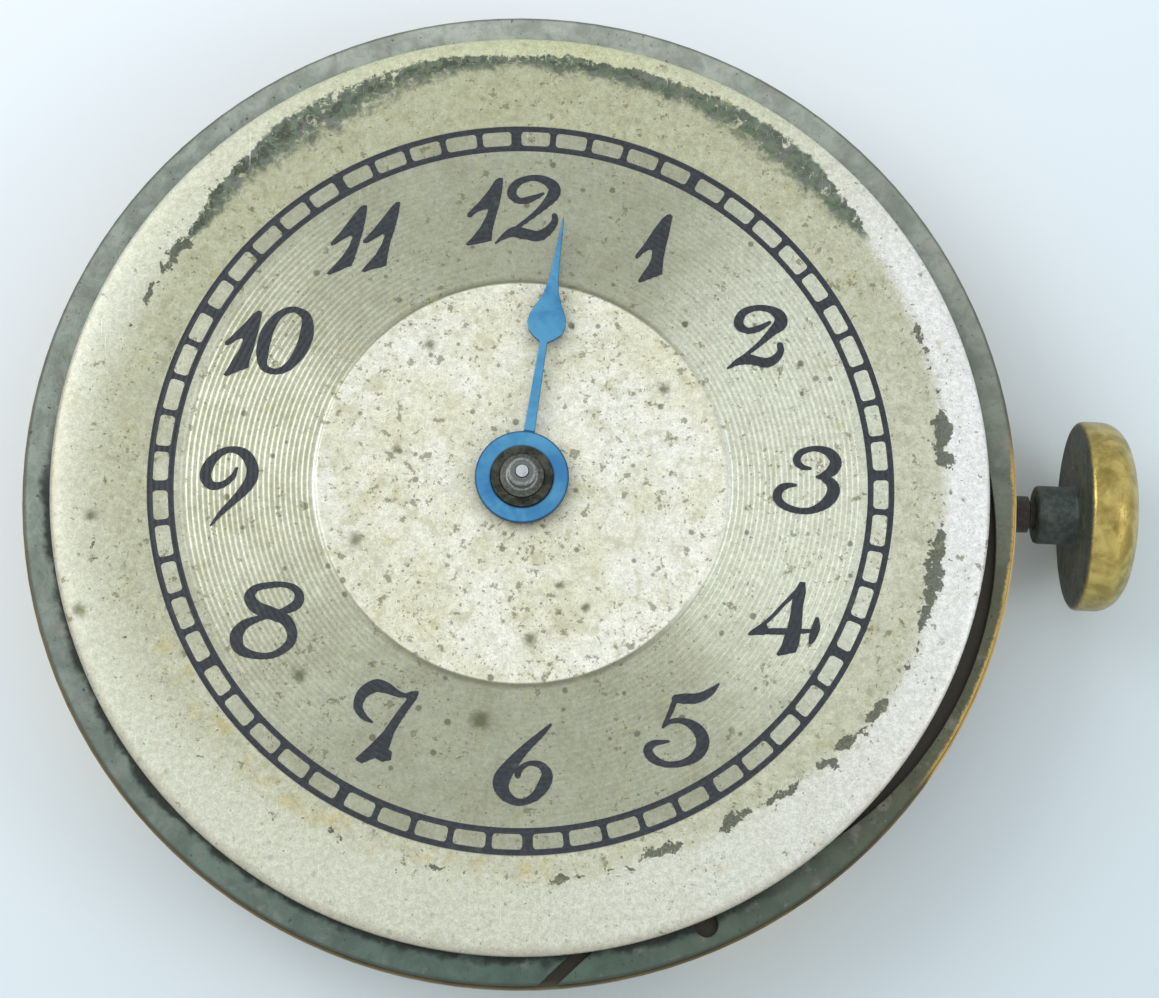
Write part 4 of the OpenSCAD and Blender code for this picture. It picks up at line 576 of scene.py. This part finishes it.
def rusty_steel():
    m = Look("rusty_stem")
    grit = m.noise(0.12, 5, 0.7, 1)
    cloud = m.noise(0.5, 4, 0.65, 2)
    colour = m.mix(m.step(cloud, 0.4, 0.62), tone(52, 48, 44), tone(84, 80, 74))
    rust = m.step(m.add(m.times(grit, 0.6), m.times(cloud, 0.5)), 0.46, 0.6)
    colour = m.over(colour, tone(44, 34, 28), rust, 0.85)
    turned = m.math("SINE", m.times(m.split(m.place)[0], 90.0))
    m.bump(m.add(m.times(grit, 0.014), m.times(turned, 0.0015)))
    return m.finish(colour, m.add(0.34, m.times(grit, 0.3)), m.blend(rust, 0.9, 0.3))


def red_jewel():
    m = Look("pink_red_jewel")
    cloud = m.noise(0.3, 3, 0.5, 1)
    colour = m.mix(m.step(cloud, 0.35, 0.7), tone(206, 40, 74), tone(168, 16, 52))
    m.bump(m.times(m.noise(0.05, 2, 0.5, 2), 0.0006))
    return m.finish(colour, m.add(0.06, m.times(cloud, 0.06)), 0.0, transmission=0.35, ior=1.76)


GOLD_TRAIN = metal_look("gilt_train", tone(226, 192, 118), tone(190, 150, 78), tone(104, 82, 44), 0.24,
                        grain="circle")
DARK_BRASS = metal_look("dark_brass", tone(86, 86, 74), tone(54, 55, 47), tone(26, 27, 24), 0.5, 0.6, 0.3,
                        tarnish=0.9, dirty=0.6, seed=3)
BRIGHT_STEEL = metal_look("bright_steel", tone(214, 216, 218), tone(176, 177, 176), tone(92, 84, 74), 0.16,
                          size=0.5, tarnish=0.3, dirty=0.08, pits=0.12, seed=5)
GREY_STEEL = metal_look("grained_steel", tone(188, 190, 192), tone(146, 146, 142), tone(96, 76, 58), 0.26,
                        grain="x", tarnish=0.4, dirty=0.14, seed=7)
SCREW_STEEL = metal_look("screw_steel_polished", tone(206, 208, 212), tone(164, 164, 162), tone(84, 70, 56),
                         0.14, size=0.5, tarnish=0.3, dirty=0.12, pits=0.12, seed=9)
NICKEL = metal_look("nickel", tone(214, 208, 190), tone(180, 172, 150), tone(104, 98, 78), 0.28, grain="y",
                    seed=11)
COPPER = metal_look("copper", tone(208, 136, 98), tone(160, 92, 60), tone(84, 62, 50), 0.34, tarnish=0.6,
                    seed=13)
SPRING_STEEL = blued("blue_spring", tone(64, 104, 168), tone(44, 66, 128), 0.22, 4)
HAND_BLUE = blued("blued_hand", tone(92, 158, 196), tone(66, 128, 176), 0.3, collar=1.37)
HUB_STEEL = hub_steel()
GILT = plate_gilt("frosted_gilt_plate")
GILT_BRIDGE = plate_gilt("frosted_gilt_bridge", 7, 0.2)
DIAL_LOOK = silvered_dial()
INK = printed_ink()
VERDIGRIS = verdigris()
GOLD_CROWN = worn_gold()
RUSTY = rusty_steel()
JEWEL = red_jewel()
RATCHET_STEEL = snailed("snailed_ratchet", (3.89, 5.828), 2)
CROWN_WHEEL_STEEL = snailed("snailed_crown_wheel", (8.45, 0.0), 6)

FINISHES = {
    GILT: "mainplate",
    GILT_BRIDGE: "barrel_bridge train_bridge balance_cock pallet_bridge",
    VERDIGRIS: "dial_ring",
    DIAL_LOOK: "dial",
    HAND_BLUE: "hour_hand",
    GOLD_TRAIN: "barrel_drum barrel_cover centre_wheel third_wheel fourth_wheel minute_wheel dial_washer "
                "balance_wheel balance_screws hairspring_collet",
    DARK_BRASS: "hour_wheel",
    HUB_STEEL: "cannon_pinion",
    BRIGHT_STEEL: "barrel_arbor centre_arbor third_arbor fourth_arbor escape_arbor escape_wheel pallet_fork "
                  "pallet_arbor balance_staff roller_table minute_pinion end_pieces regulator",
    GREY_STEEL: "setting_wheel intermediate_wheel winding_pinion clutch_wheel setting_lever yoke yoke_spring "
                "click click_spring hairspring_stud",
    RATCHET_STEEL: "ratchet_wheel",
    CROWN_WHEEL_STEEL: "crown_wheel",
    SCREW_STEEL: "bridge_screws small_screws ratchet_screw crown_wheel_screw dial_foot_screws "
                 "setting_lever_screw",
    NICKEL: "setting_cover",
    COPPER: "dial_feet",
    SPRING_STEEL: "hairspring mainspring",
    RUSTY: "winding_stem",
    GOLD_CROWN: "crown",
    JEWEL: "jewels impulse_jewel pallet_stones",
}
LOOK_OF = {name: material for material, names in FINISHES.items() for name in names.split()}
SLOT_OF = {part["node"]: part["material_slot"] for part in frame["record"]["subparts"]}
for name, material in LOOK_OF.items():
    for slot in NODES[name].material_slots:
        slot.material = material


# Pieces

# Edges sharper than this stay sharp, in degrees, on the edged and on the turned pieces
EDGE_ANGLE, TURNED_ANGLE = 30, 50


def placed(name, data):
    thing = bpy.data.objects.new(name, data)
    bpy.context.collection.objects.link(thing)
    return thing


def put(name, mesh, look, body, slot, sharp):
    """An object for a finished mesh, shaded smooth but for its sharp edges."""
    mesh.materials.append(look)
    mesh.polygons.foreach_set("use_smooth", [True] * len(mesh.polygons))
    mesh.set_sharp_from_angle(angle=math.radians(sharp))
    piece = placed(name, mesh)
    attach(piece, body)
    return piece


def add_piece(name, verts, faces, look, body, slot, sharp):
    """A new mesh piece from points in millimetres."""
    mesh = bpy.data.meshes.new(name)
    mesh.from_pydata([Vector(v) * MM for v in verts], [], faces)
    return put(name, mesh, look, body, slot, sharp)


def polar(r, a):
    return r * math.cos(a), r * math.sin(a)


def upright(r, z, a):
    return *polar(r, a), z


def lathe(name, profile, count, look, body, slot, place=upright, ring=True):
    """Turned from (radius, height) pairs; ring closes the profile, and a radius of 0 is one point."""
    verts, rows, faces = [], [], []
    for r, z in profile:
        if r == 0:
            rows.append([len(verts)] * count)
            verts.append(place(0, z, 0))
        else:
            rows.append(list(range(len(verts), len(verts) + count)))
            verts += [place(r, z, math.tau * k / count) for k in range(count)]
    pairs = list(zip(rows, rows[1:])) + ([(rows[-1], rows[0])] if ring else [])
    for a, b in pairs:
        for k in range(count):
            j = (k + 1) % count
            corners = [a[k], a[j], b[j], b[k]]
            face = [c for i, c in enumerate(corners) if c not in corners[:i]]
            if len(face) > 2:
                faces.append(face)
    return add_piece(name, verts, faces, look, body, slot, TURNED_ANGLE)


def smooth_line(points, each):
    """A Catmull-Rom line through points of any dimension."""
    points = [Vector(p) for p in points]
    ends = [2 * points[0] - points[1]] + points + [2 * points[-1] - points[-2]]
    line = []
    for p0, p1, p2, p3 in zip(ends, ends[1:], ends[2:], ends[3:]):
        for k in range(each):
            t = k / each
            line.append(0.5 * (2 * p1 + (p2 - p0) * t + (2 * p0 - 5 * p1 + 4 * p2 - p3) * t * t
                               + (3 * p1 - p0 - 3 * p2 + p3) * t ** 3))
    return line + [points[-1]]


def pen(points):
    """The shapes that a pen of changing width draws along (x, y, width) points."""
    steps, corners = 5, 12
    line = [(x, y, max(width, 0.5) / 2) for x, y, width in smooth_line(points, steps)]
    shapes = []
    for x, y, half in line:
        nib = [polar(half, math.tau * k / corners) for k in range(corners)]
        shapes.append([(x + dx, y + dy) for dx, dy in nib])
    for p, q in zip(line, line[1:]):
        way = Vector((q[0] - p[0], q[1] - p[1]))
        if way.length < 1e-6:
            continue
        side = Vector((-way.y, way.x)).normalized()
        a, b = side * p[2], side * q[2]
        shapes.append([(p[0] + a.x, p[1] + a.y), (p[0] - a.x, p[1] - a.y),
                       (q[0] - b.x, q[1] - b.y), (q[0] + b.x, q[1] + b.y)])
    return shapes


def flat_union(shapes, place, low, high):
    """Points and faces of one flat solid over overlapping shapes, between two levels."""
    points, rings = [], []
    for shape in shapes:
        shape = [Vector(p) for p in shape]
        area = sum(a.x * b.y - b.x * a.y for a, b in zip(shape, shape[1:] + shape[:1]))
        shape = shape if area > 0 else shape[::-1]
        rings.append(list(range(len(points), len(points) + len(shape))))
        points += shape
    found, _, tris, _, _, source = geometry.delaunay_2d_cdt(points, [], rings, 0, 1e-5)
    tris = [list(t) for t, of in zip(tris, source) if of]
    found = [Vector(place(p.x, p.y)) for p in found]
    a, b, c = (found[i] for i in tris[0])
    if (b - a).cross(c - a) < 0:
        tris = [t[::-1] for t in tris]
    count = len(found)
    used = {}
    for t in tris:
        for a, b in zip(t, t[1:] + t[:1]):
            used[(a, b)] = used.get((a, b), 0) + 1
    walls = [[b, a, a + count, b + count] for a, b in used if (b, a) not in used]
    verts = [(p.x, p.y, high) for p in found] + [(p.x, p.y, low) for p in found]
    faces = tris + [[i + count for i in reversed(t)] for t in tris] + walls
    keep = sorted({i for face in faces for i in face})
    index = {old: new for new, old in enumerate(keep)}
    return [verts[i] for i in keep], [[index[i] for i in face] for face in faces]


def flat_piece(name, groups, low, high, look, body, slot):
    """One piece from several separate groups of (shapes, place)."""
    verts, faces = [], []
    for shapes, place in groups:
        v, f = flat_union(shapes, place, low, high)
        faces += [[i + len(verts) for i in face] for face in f]
        verts += v
    return add_piece(name, verts, faces, look, body, slot, EDGE_ANGLE)


def soften(node, width):
    """Stands for a CAD node with the same surfaces and edges rounded by a width in millimetres."""
    bm = bmesh.new()
    bm.from_mesh(NODES[node].data)
    bmesh.ops.remove_doubles(bm, verts=bm.verts, dist=1e-6)
    bmesh.ops.dissolve_degenerate(bm, edges=bm.edges, dist=1e-7)
    bmesh.ops.dissolve_limit(bm, angle_limit=math.radians(0.3), verts=bm.verts, edges=bm.edges)
    for layer in list(bm.loops.layers.float_vector):
        bm.loops.layers.float_vector.remove(layer)
    mesh = bpy.data.meshes.new(node + "_edges")
    bm.to_mesh(mesh)
    bm.free()
    piece = put(node + "_edges", mesh, LOOK_OF[node], BODY_OF[node], SLOT_OF[node], EDGE_ANGLE)
    bevel = piece.modifiers.new("edges", "BEVEL")
    bevel.width, bevel.segments, bevel.limit_method = width * MM, 2, "ANGLE"
    bevel.angle_limit, bevel.harden_normals = math.radians(EDGE_ANGLE), True
    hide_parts(node)


# Dial with its turned grooves, raised disc edge and rolled rim
def dial_profile():
    line = [(1.26, 0.0), (13.6, 0.0), (13.7, 0.04), (13.75, 0.12), (13.75, 0.25), (13.72, 0.31),
            (13.64, 0.355), (13.5, 0.385), (13.25, 0.41), (12.9, 0.425), (12.5, 0.43), (12.1, 0.427),
            (11.75, 0.415), (11.4, 0.39), (11.15, 0.365), (11.02, 0.35), (TRACK_R + 0.03, GROUND),
            (TRACK_R - 0.35, GROUND), (9.98, GROUND)]
    for k in range(GROOVES * 4):
        line.append((9.94 - k * GROOVE / 4, GROUND - 0.006 + 0.013 * math.sin(math.pi * k / 2)))
    return line + [(6.08, GROUND), (6.05, 0.352), (6.02, 0.385), (5.97, 0.395), (5.9, 0.385), (5.82, RAISED),
                   (4.5, RAISED), (2.5, RAISED), (1.34, RAISED), (1.28, 0.362), (1.26, 0.34)]


dial = lathe("dial_turned", dial_profile(), 240, DIAL_LOOK, BODY_OF["dial"], "silvered_dial")
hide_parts("dial")

# Numerals in a 416-unit square, x right and y down: "pen" strokes as (x, y, width), "cut" outlines as (x, y)
GLYPHS = {
    1: [("cut", [(262, 68), (276, 66), (284, 76), (276, 110), (266, 155), (252, 205), (242, 250), (237, 290),
            (235, 316), (200, 328), (142, 350), (134, 343), (152, 315), (178, 280), (192, 250), (197, 215),
            (190, 210), (160, 226), (136, 250), (126, 246), (128, 234), (160, 196), (205, 130), (240, 85)])],
    2: [("pen", [(258, 148, 14), (212, 172, 26), (165, 180, 26), (132, 152, 40), (150, 108, 32),
            (200, 88, 24), (255, 92, 28), (298, 118, 46), (302, 152, 54), (268, 185, 36), (220, 230, 22),
            (170, 270, 16), (120, 305, 12), (82, 332, 7)]),
        ("pen", [(82, 334, 7), (120, 310, 26), (162, 298, 42), (200, 305, 38), (240, 313, 40), (275, 298, 34),
            (298, 268, 28), (297, 242, 26)])],
    3: [("pen", [(220, 158, 12), (186, 150, 24), (166, 124, 32), (186, 92, 26), (240, 78, 22), (295, 92, 36),
            (323, 130, 48), (306, 168, 44), (266, 190, 26), (245, 192, 12)]),
        ("pen", [(260, 192, 18), (298, 215, 42), (310, 250, 52), (280, 295, 44), (220, 325, 28),
            (160, 325, 26), (105, 303, 30), (82, 268, 36), (98, 236, 32), (130, 224, 22), (158, 224, 12)])],
    4: [("cut", [(262, 58), (284, 60), (284, 100), (270, 160), (262, 240), (250, 300), (235, 335), (165, 348),
            (158, 340), (178, 310), (190, 275), (206, 235), (220, 180), (228, 130), (244, 85)]),
        ("pen", [(262, 85, 24), (200, 140, 15), (130, 208, 15), (58, 256, 12)]),
        ("pen", [(54, 260, 12), (110, 252, 22), (180, 252, 26), (260, 253, 20), (300, 252, 14)]),
        ("cut", [(50, 262), (118, 212), (134, 246), (110, 266)]),
        ("pen", [(324, 207, 18), (318, 240, 34), (302, 282, 28), (292, 300, 10)])],
    5: [("pen", [(354, 44, 9), (322, 72, 28), (272, 96, 38), (215, 98, 40), (182, 98, 30)]),
        ("pen", [(184, 92, 22), (160, 150, 20), (130, 206, 12)]),
        ("pen", [(130, 206, 10), (165, 184, 18), (215, 186, 26), (263, 215, 44), (285, 262, 52),
            (265, 312, 44), (210, 344, 28), (140, 350, 24), (86, 326, 34), (68, 292, 36), (94, 268, 24),
            (150, 262, 10)])],
    6: [("pen", [(318, 54, 10), (280, 90, 24), (222, 140, 34), (165, 200, 50), (122, 262, 66), (128, 308, 52),
            (162, 340, 34), (205, 348, 26), (254, 326, 36), (290, 280, 50), (300, 240, 42), (272, 206, 26),
            (226, 202, 18), (192, 226, 26), (186, 244, 26)])],
    7: [("pen", [(160, 214, 10), (126, 190, 26), (106, 150, 36), (125, 102, 44), (175, 74, 50), (215, 82, 44),
            (262, 106, 26), (302, 116, 14)]),
        ("cut", [(285, 108), (318, 97), (343, 97), (343, 112), (326, 140), (300, 134)]),
        ("pen", [(324, 120, 28), (280, 175, 32), (232, 245, 38), (205, 300, 52)]),
        ("cut", [(206, 250), (234, 262), (222, 316), (238, 330), (234, 360), (200, 368), (170, 352),
            (120, 372), (100, 362), (95, 352), (150, 305)])],
    8: [("pen", [(245, 68, 24), (170, 80, 28), (142, 115, 44), (167, 155, 50), (225, 180, 50), (280, 205, 46),
            (308, 250, 42), (300, 300, 36), (240, 342, 26), (170, 345, 28), (106, 320, 42), (90, 270, 52),
            (120, 225, 38), (180, 200, 24), (250, 182, 22), (322, 152, 38), (338, 115, 38), (318, 84, 28),
            (280, 70, 22), (240, 68, 24)])],
    9: [("pen", [(242, 148, 12), (225, 182, 22), (186, 212, 26), (140, 214, 36), (118, 178, 46),
            (132, 130, 42), (175, 86, 30), (225, 72, 26), (275, 92, 42), (303, 140, 48), (300, 190, 48),
            (270, 236, 40), (225, 282, 28), (180, 326, 20), (140, 374, 7)])],
    10: [("cut", [(172, 84), (184, 92), (178, 130), (165, 185), (150, 240), (135, 290), (131, 318),
            (100, 328), (40, 352), (30, 345), (48, 318), (70, 278), (95, 240), (108, 206), (102, 196),
            (75, 208), (48, 226), (36, 224), (35, 212), (70, 180), (115, 135), (150, 96)]),
        ("pen", [(320, 82, 24), (363, 115, 40), (363, 190, 56), (335, 260, 48), (290, 315, 34),
            (240, 335, 24), (192, 315, 32), (186, 255, 50), (202, 180, 50), (238, 120, 36), (280, 88, 26),
            (320, 82, 24)])],
    11: [("cut", [(204, 72), (217, 75), (212, 120), (200, 180), (182, 240), (166, 290), (153, 325),
            (120, 335), (62, 362), (52, 355), (75, 330), (115, 285), (142, 245), (158, 204), (150, 198),
            (118, 215), (86, 236), (69, 240), (68, 228), (110, 182), (150, 128), (185, 84)]),
        ("cut", [(338, 60), (352, 62), (345, 110), (330, 170), (310, 230), (299, 285), (294, 325), (255, 335),
            (205, 350), (193, 347), (212, 322), (250, 280), (276, 235), (288, 200), (280, 194), (246, 214),
            (216, 231), (200, 231), (200, 220), (242, 175), (282, 125), (320, 76)])],
    12: [("cut", [(148, 78), (162, 82), (158, 130), (145, 190), (128, 250), (115, 300), (112, 340), (80, 350),
            (14, 362), (6, 354), (35, 325), (66, 285), (88, 245), (100, 212), (92, 206), (62, 216), (28, 242),
            (12, 240), (15, 226), (60, 182), (100, 134), (130, 88)]),
        ("pen", [(325, 148, 12), (272, 170, 26), (226, 176, 26), (196, 146, 38), (215, 106, 32),
            (265, 83, 24), (320, 86, 30), (366, 116, 46), (368, 150, 50), (330, 196, 32), (280, 240, 20),
            (220, 285, 16), (165, 325, 12), (128, 350, 7)]),
        ("pen", [(128, 352, 7), (165, 322, 24), (205, 306, 44), (250, 315, 44), (300, 325, 44),
            (345, 300, 36), (370, 265, 28), (370, 242, 24)])],
}
GLYPH_MIDDLE = 208
# Units of the square per millimetre, across and up
GLYPH_SCALE = (4 * 34.2, -4 * 33.4)
# Where each numeral stands, in millimetres on the dial
STANDS = {
    1: (4.08, 7.04), 2: (7.06, 4.25), 3: (8.38, -0.14), 4: (7.64, -4.26), 5: (4.51, -7.33), 6: (-0.09, -8.35),
    7: (-4.05, -6.99), 8: (-7.43, -4.03), 9: (-8.56, 0.03), 10: (-7.42, 4.34), 11: (-4.55, 7.48),
    12: (-0.08, 8.34)
}


def on_dial(cx=0.0, cy=0.0, kx=1.0, ky=1.0):
    """Turns drawn points into places on the turned dial, scaled and moved to a centre."""
    c, s = math.cos(DIAL_TURN), math.sin(DIAL_TURN)

    def place(x, y):
        px, py = cx + x * kx, cy + y * ky
        return (px * c - py * s, px * s + py * c)

    return place


groups = []
for number, strokes in GLYPHS.items():
    shapes = []
    for kind, points in strokes:
        shapes += pen(points) if kind == "pen" else [points]
    shapes = [[(x - GLYPH_MIDDLE, y - GLYPH_MIDDLE) for x, y in shape] for shape in shapes]
    groups.append((shapes, on_dial(*STANDS[number], *(1 / units for units in GLYPH_SCALE))))
flat_piece("numerals", groups, 0.325, 0.352, INK, BODY_OF["dial"], "silvered_dial")


# Minute track: two rings joined by sixty bars, with rounded corners between them
TRACK_IN, TRACK_LINE, TRACK_FILLET = 10.14, 0.17, 0.11
BAR, FIFTH_BAR = 0.09, 0.15


def track_shapes():
    shapes = []
    for k in range(240):
        a0, a1 = math.radians(k * 1.5), math.radians(k * 1.5 + 1.5)
        for r0, r1 in ((TRACK_R - TRACK_LINE, TRACK_R), (TRACK_IN, TRACK_IN + TRACK_LINE)):
            shapes.append([polar(r0, a0), polar(r1, a0), polar(r1, a1), polar(r0, a1)])
    low, top = TRACK_IN + TRACK_LINE, TRACK_R - TRACK_LINE
    for k in range(60):
        a = math.radians(k * 6)
        half = FIFTH_BAR if k % 5 == 0 else BAR
        side = [(low - 0.02, half + TRACK_FILLET)]
        for i in range(5):
            x, y = polar(TRACK_FILLET, math.pi / 2 * i / 4)
            side.append((low + TRACK_FILLET - x - 0.004, half + TRACK_FILLET - y))
        outline = side + [(low + top - r, s) for r, s in reversed(side)]
        outline += [(r, -s) for r, s in reversed(outline)]
        c, s = math.cos(a), math.sin(a)
        shapes.append([(r * c - w * s, r * s + w * c) for r, w in outline])
    return shapes


flat_piece("minute_track", [(track_shapes(), on_dial())], 0.33, 0.35, INK, BODY_OF["dial"], "silvered_dial")


# Crown with a smooth worn roll
def crown_profile():
    r, x, t = 2.85, CROWN_X, CROWN_T
    start = [(0.43, x - 1.2), (0.77, x - 1.2), (0.84, x - 1.17), (0.875, x - 1.1), (0.875, x - 0.1),
             (0.9, x - 0.04), (0.96, x), (1.6, x + 0.02), (2.1, x + 0.01), (r - 0.2, x), (r - 0.1, x + 0.02),
             (r - 0.03, x + 0.07), (r, x + 0.16)]
    dome = [(r * math.cos(a) ** 0.45, x + 0.4 * t + 0.6 * t * math.sin(a))
            for a in (math.radians(3 * k) for k in range(30))]
    return start + dome + [(0, x + t)]


def sideways(r, x, a):
    return x, r * math.cos(a), STEM_Z + r * math.sin(a)


crown = lathe("crown_roll", crown_profile(), 128, GOLD_CROWN, BODY_OF["crown"], "crown_gold",
              place=sideways, ring=False)
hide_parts("crown")

# Rounded edges, in millimetres
for name, width in (("hour_hand", 0.055), ("dial_ring", 0.03), ("mainplate", 0.03), ("barrel_bridge", 0.05),
                    ("train_bridge", 0.05), ("balance_cock", 0.05), ("pallet_bridge", 0.04),
                    ("ratchet_wheel", 0.03), ("crown_wheel", 0.02), ("bridge_screws", 0.04), ("click", 0.03),
                    ("regulator", 0.02), ("crown_wheel_screw", 0.05), ("ratchet_screw", 0.04),
                    ("cannon_pinion", 0.02), ("setting_cover", 0.03)):
    soften(name, width)

# Camera at the photograph's angle, in degrees and millimetres
ELEVATION, AZIMUTH, ROLL = 77.4456, -4.6367, 6.5483
AIM, DISTANCE = (1.7089, -0.4204, 0.0), 80.32
FOCAL_PX, WIDTH_PX, SENSOR = 2738.65, 1159, 36.0
el, az, roll = (math.radians(v) for v in (ELEVATION, AZIMUTH, ROLL))
ahead = -Vector((math.sin(az) * math.cos(el), -math.cos(az) * math.cos(el), math.sin(el)))
right = ahead.cross(Vector((0, 0, 1))).normalized()
up = right.cross(ahead)
right, up = math.cos(roll) * right + math.sin(roll) * up, -math.sin(roll) * right + math.cos(roll) * up
lens = bpy.data.cameras.new("camera")
lens.sensor_width, lens.lens = SENSOR, SENSOR * FOCAL_PX / WIDTH_PX
lens.clip_start, lens.clip_end = 0.002, 20.0
camera = placed("camera", lens)
camera.location = (Vector(AIM) - ahead * DISTANCE) * MM
camera.rotation_mode = "QUATERNION"
camera.rotation_quaternion = Matrix((right, up, -ahead)).transposed().to_quaternion()
bpy.context.scene.camera = camera

# Floor, lights and world
low = cad_box[0][2]
half = 1.5
mesh = bpy.data.meshes.new("floor")
mesh.from_pydata([(-half, -half, low), (half, -half, low), (half, half, low), (-half, half, low)], [],
                 [(0, 1, 2, 3)])
floor = placed("floor", mesh)
m = Look("pale_paper")
x, y, _ = m.split(m.place)
# Painted light falloff: the floor lighter at the upper left and darker towards the lower right
painted_falloff = m.step(m.add(m.times(x, 0.5), m.times(y, -1.0)), -30.0, 34.0)
paper = m.mix(painted_falloff, tone(238, 247, 253), tone(212, 226, 231))
m.bump(m.times(m.noise(0.4, 3, 0.6), 0.003))
mesh.materials.append(m.finish(paper, 0.7, 0.0, specular=0.2))


def lamp(name, where, side, power, colour):
    """A square lamp that looks at the middle of the frame."""
    light = bpy.data.lights.new(name, "AREA")
    light.shape, light.size, light.energy, light.color = "SQUARE", side, power, colour
    holder = placed(name, light)
    holder.location = where
    holder.rotation_mode = "QUATERNION"
    holder.rotation_quaternion = (-Vector(where)).to_track_quat("-Z", "Y")


lamp("key", (-0.15, 0.06, 0.15), 0.13, 0.17, (1.0, 0.99, 0.97))
lamp("fill", (0.16, -0.05, 0.12), 0.08, 0.06, (0.96, 0.98, 1.0))

# The sky lights the scene, while the camera and what mirrors or shines through see a plain pale ground
world = bpy.data.worlds.new("room")
bpy.context.scene.world = world
world.use_nodes = True
tree = world.node_tree


def world_node(kind, *sources):
    """A node of the world with its first inputs linked to these outputs."""
    n = tree.nodes.new("ShaderNode" + kind)
    for socket, source in zip(n.inputs, sources):
        tree.links.new(source, socket)
    return n


height = world_node("SeparateXYZ", world_node("TexCoord").outputs["Generated"]).outputs["Z"]
ramp = world_node("ValToRGB", height)
marks = ramp.color_ramp.elements
marks.new(0.35)
for mark, shade in zip(marks, ((0.25, 0.27, 0.29), (0.5, 0.52, 0.54), (0.95, 0.97, 1.0))):
    mark.color = (*shade, 1)
sky = tree.nodes["Background"]
tree.links.new(ramp.outputs[0], sky.inputs["Color"])
sky.inputs["Strength"].default_value = 1.0
plain = world_node("Background")
plain.inputs["Color"].default_value = (*tone(238, 246, 251), 1)
path = world_node("LightPath").outputs
seen = path["Is Camera Ray"]
for kind in ("Is Glossy Ray", "Is Transmission Ray"):
    either = world_node("Math", seen, path[kind])
    either.operation = "MAXIMUM"
    seen = either.outputs[0]
pick = world_node("MixShader", seen, sky.outputs[0], plain.outputs[0])
tree.links.new(pick.outputs[0], tree.nodes["World Output"].inputs["Surface"])

bpy.context.scene.view_settings.view_transform = "Standard"

bpy.context.view_layer.update()
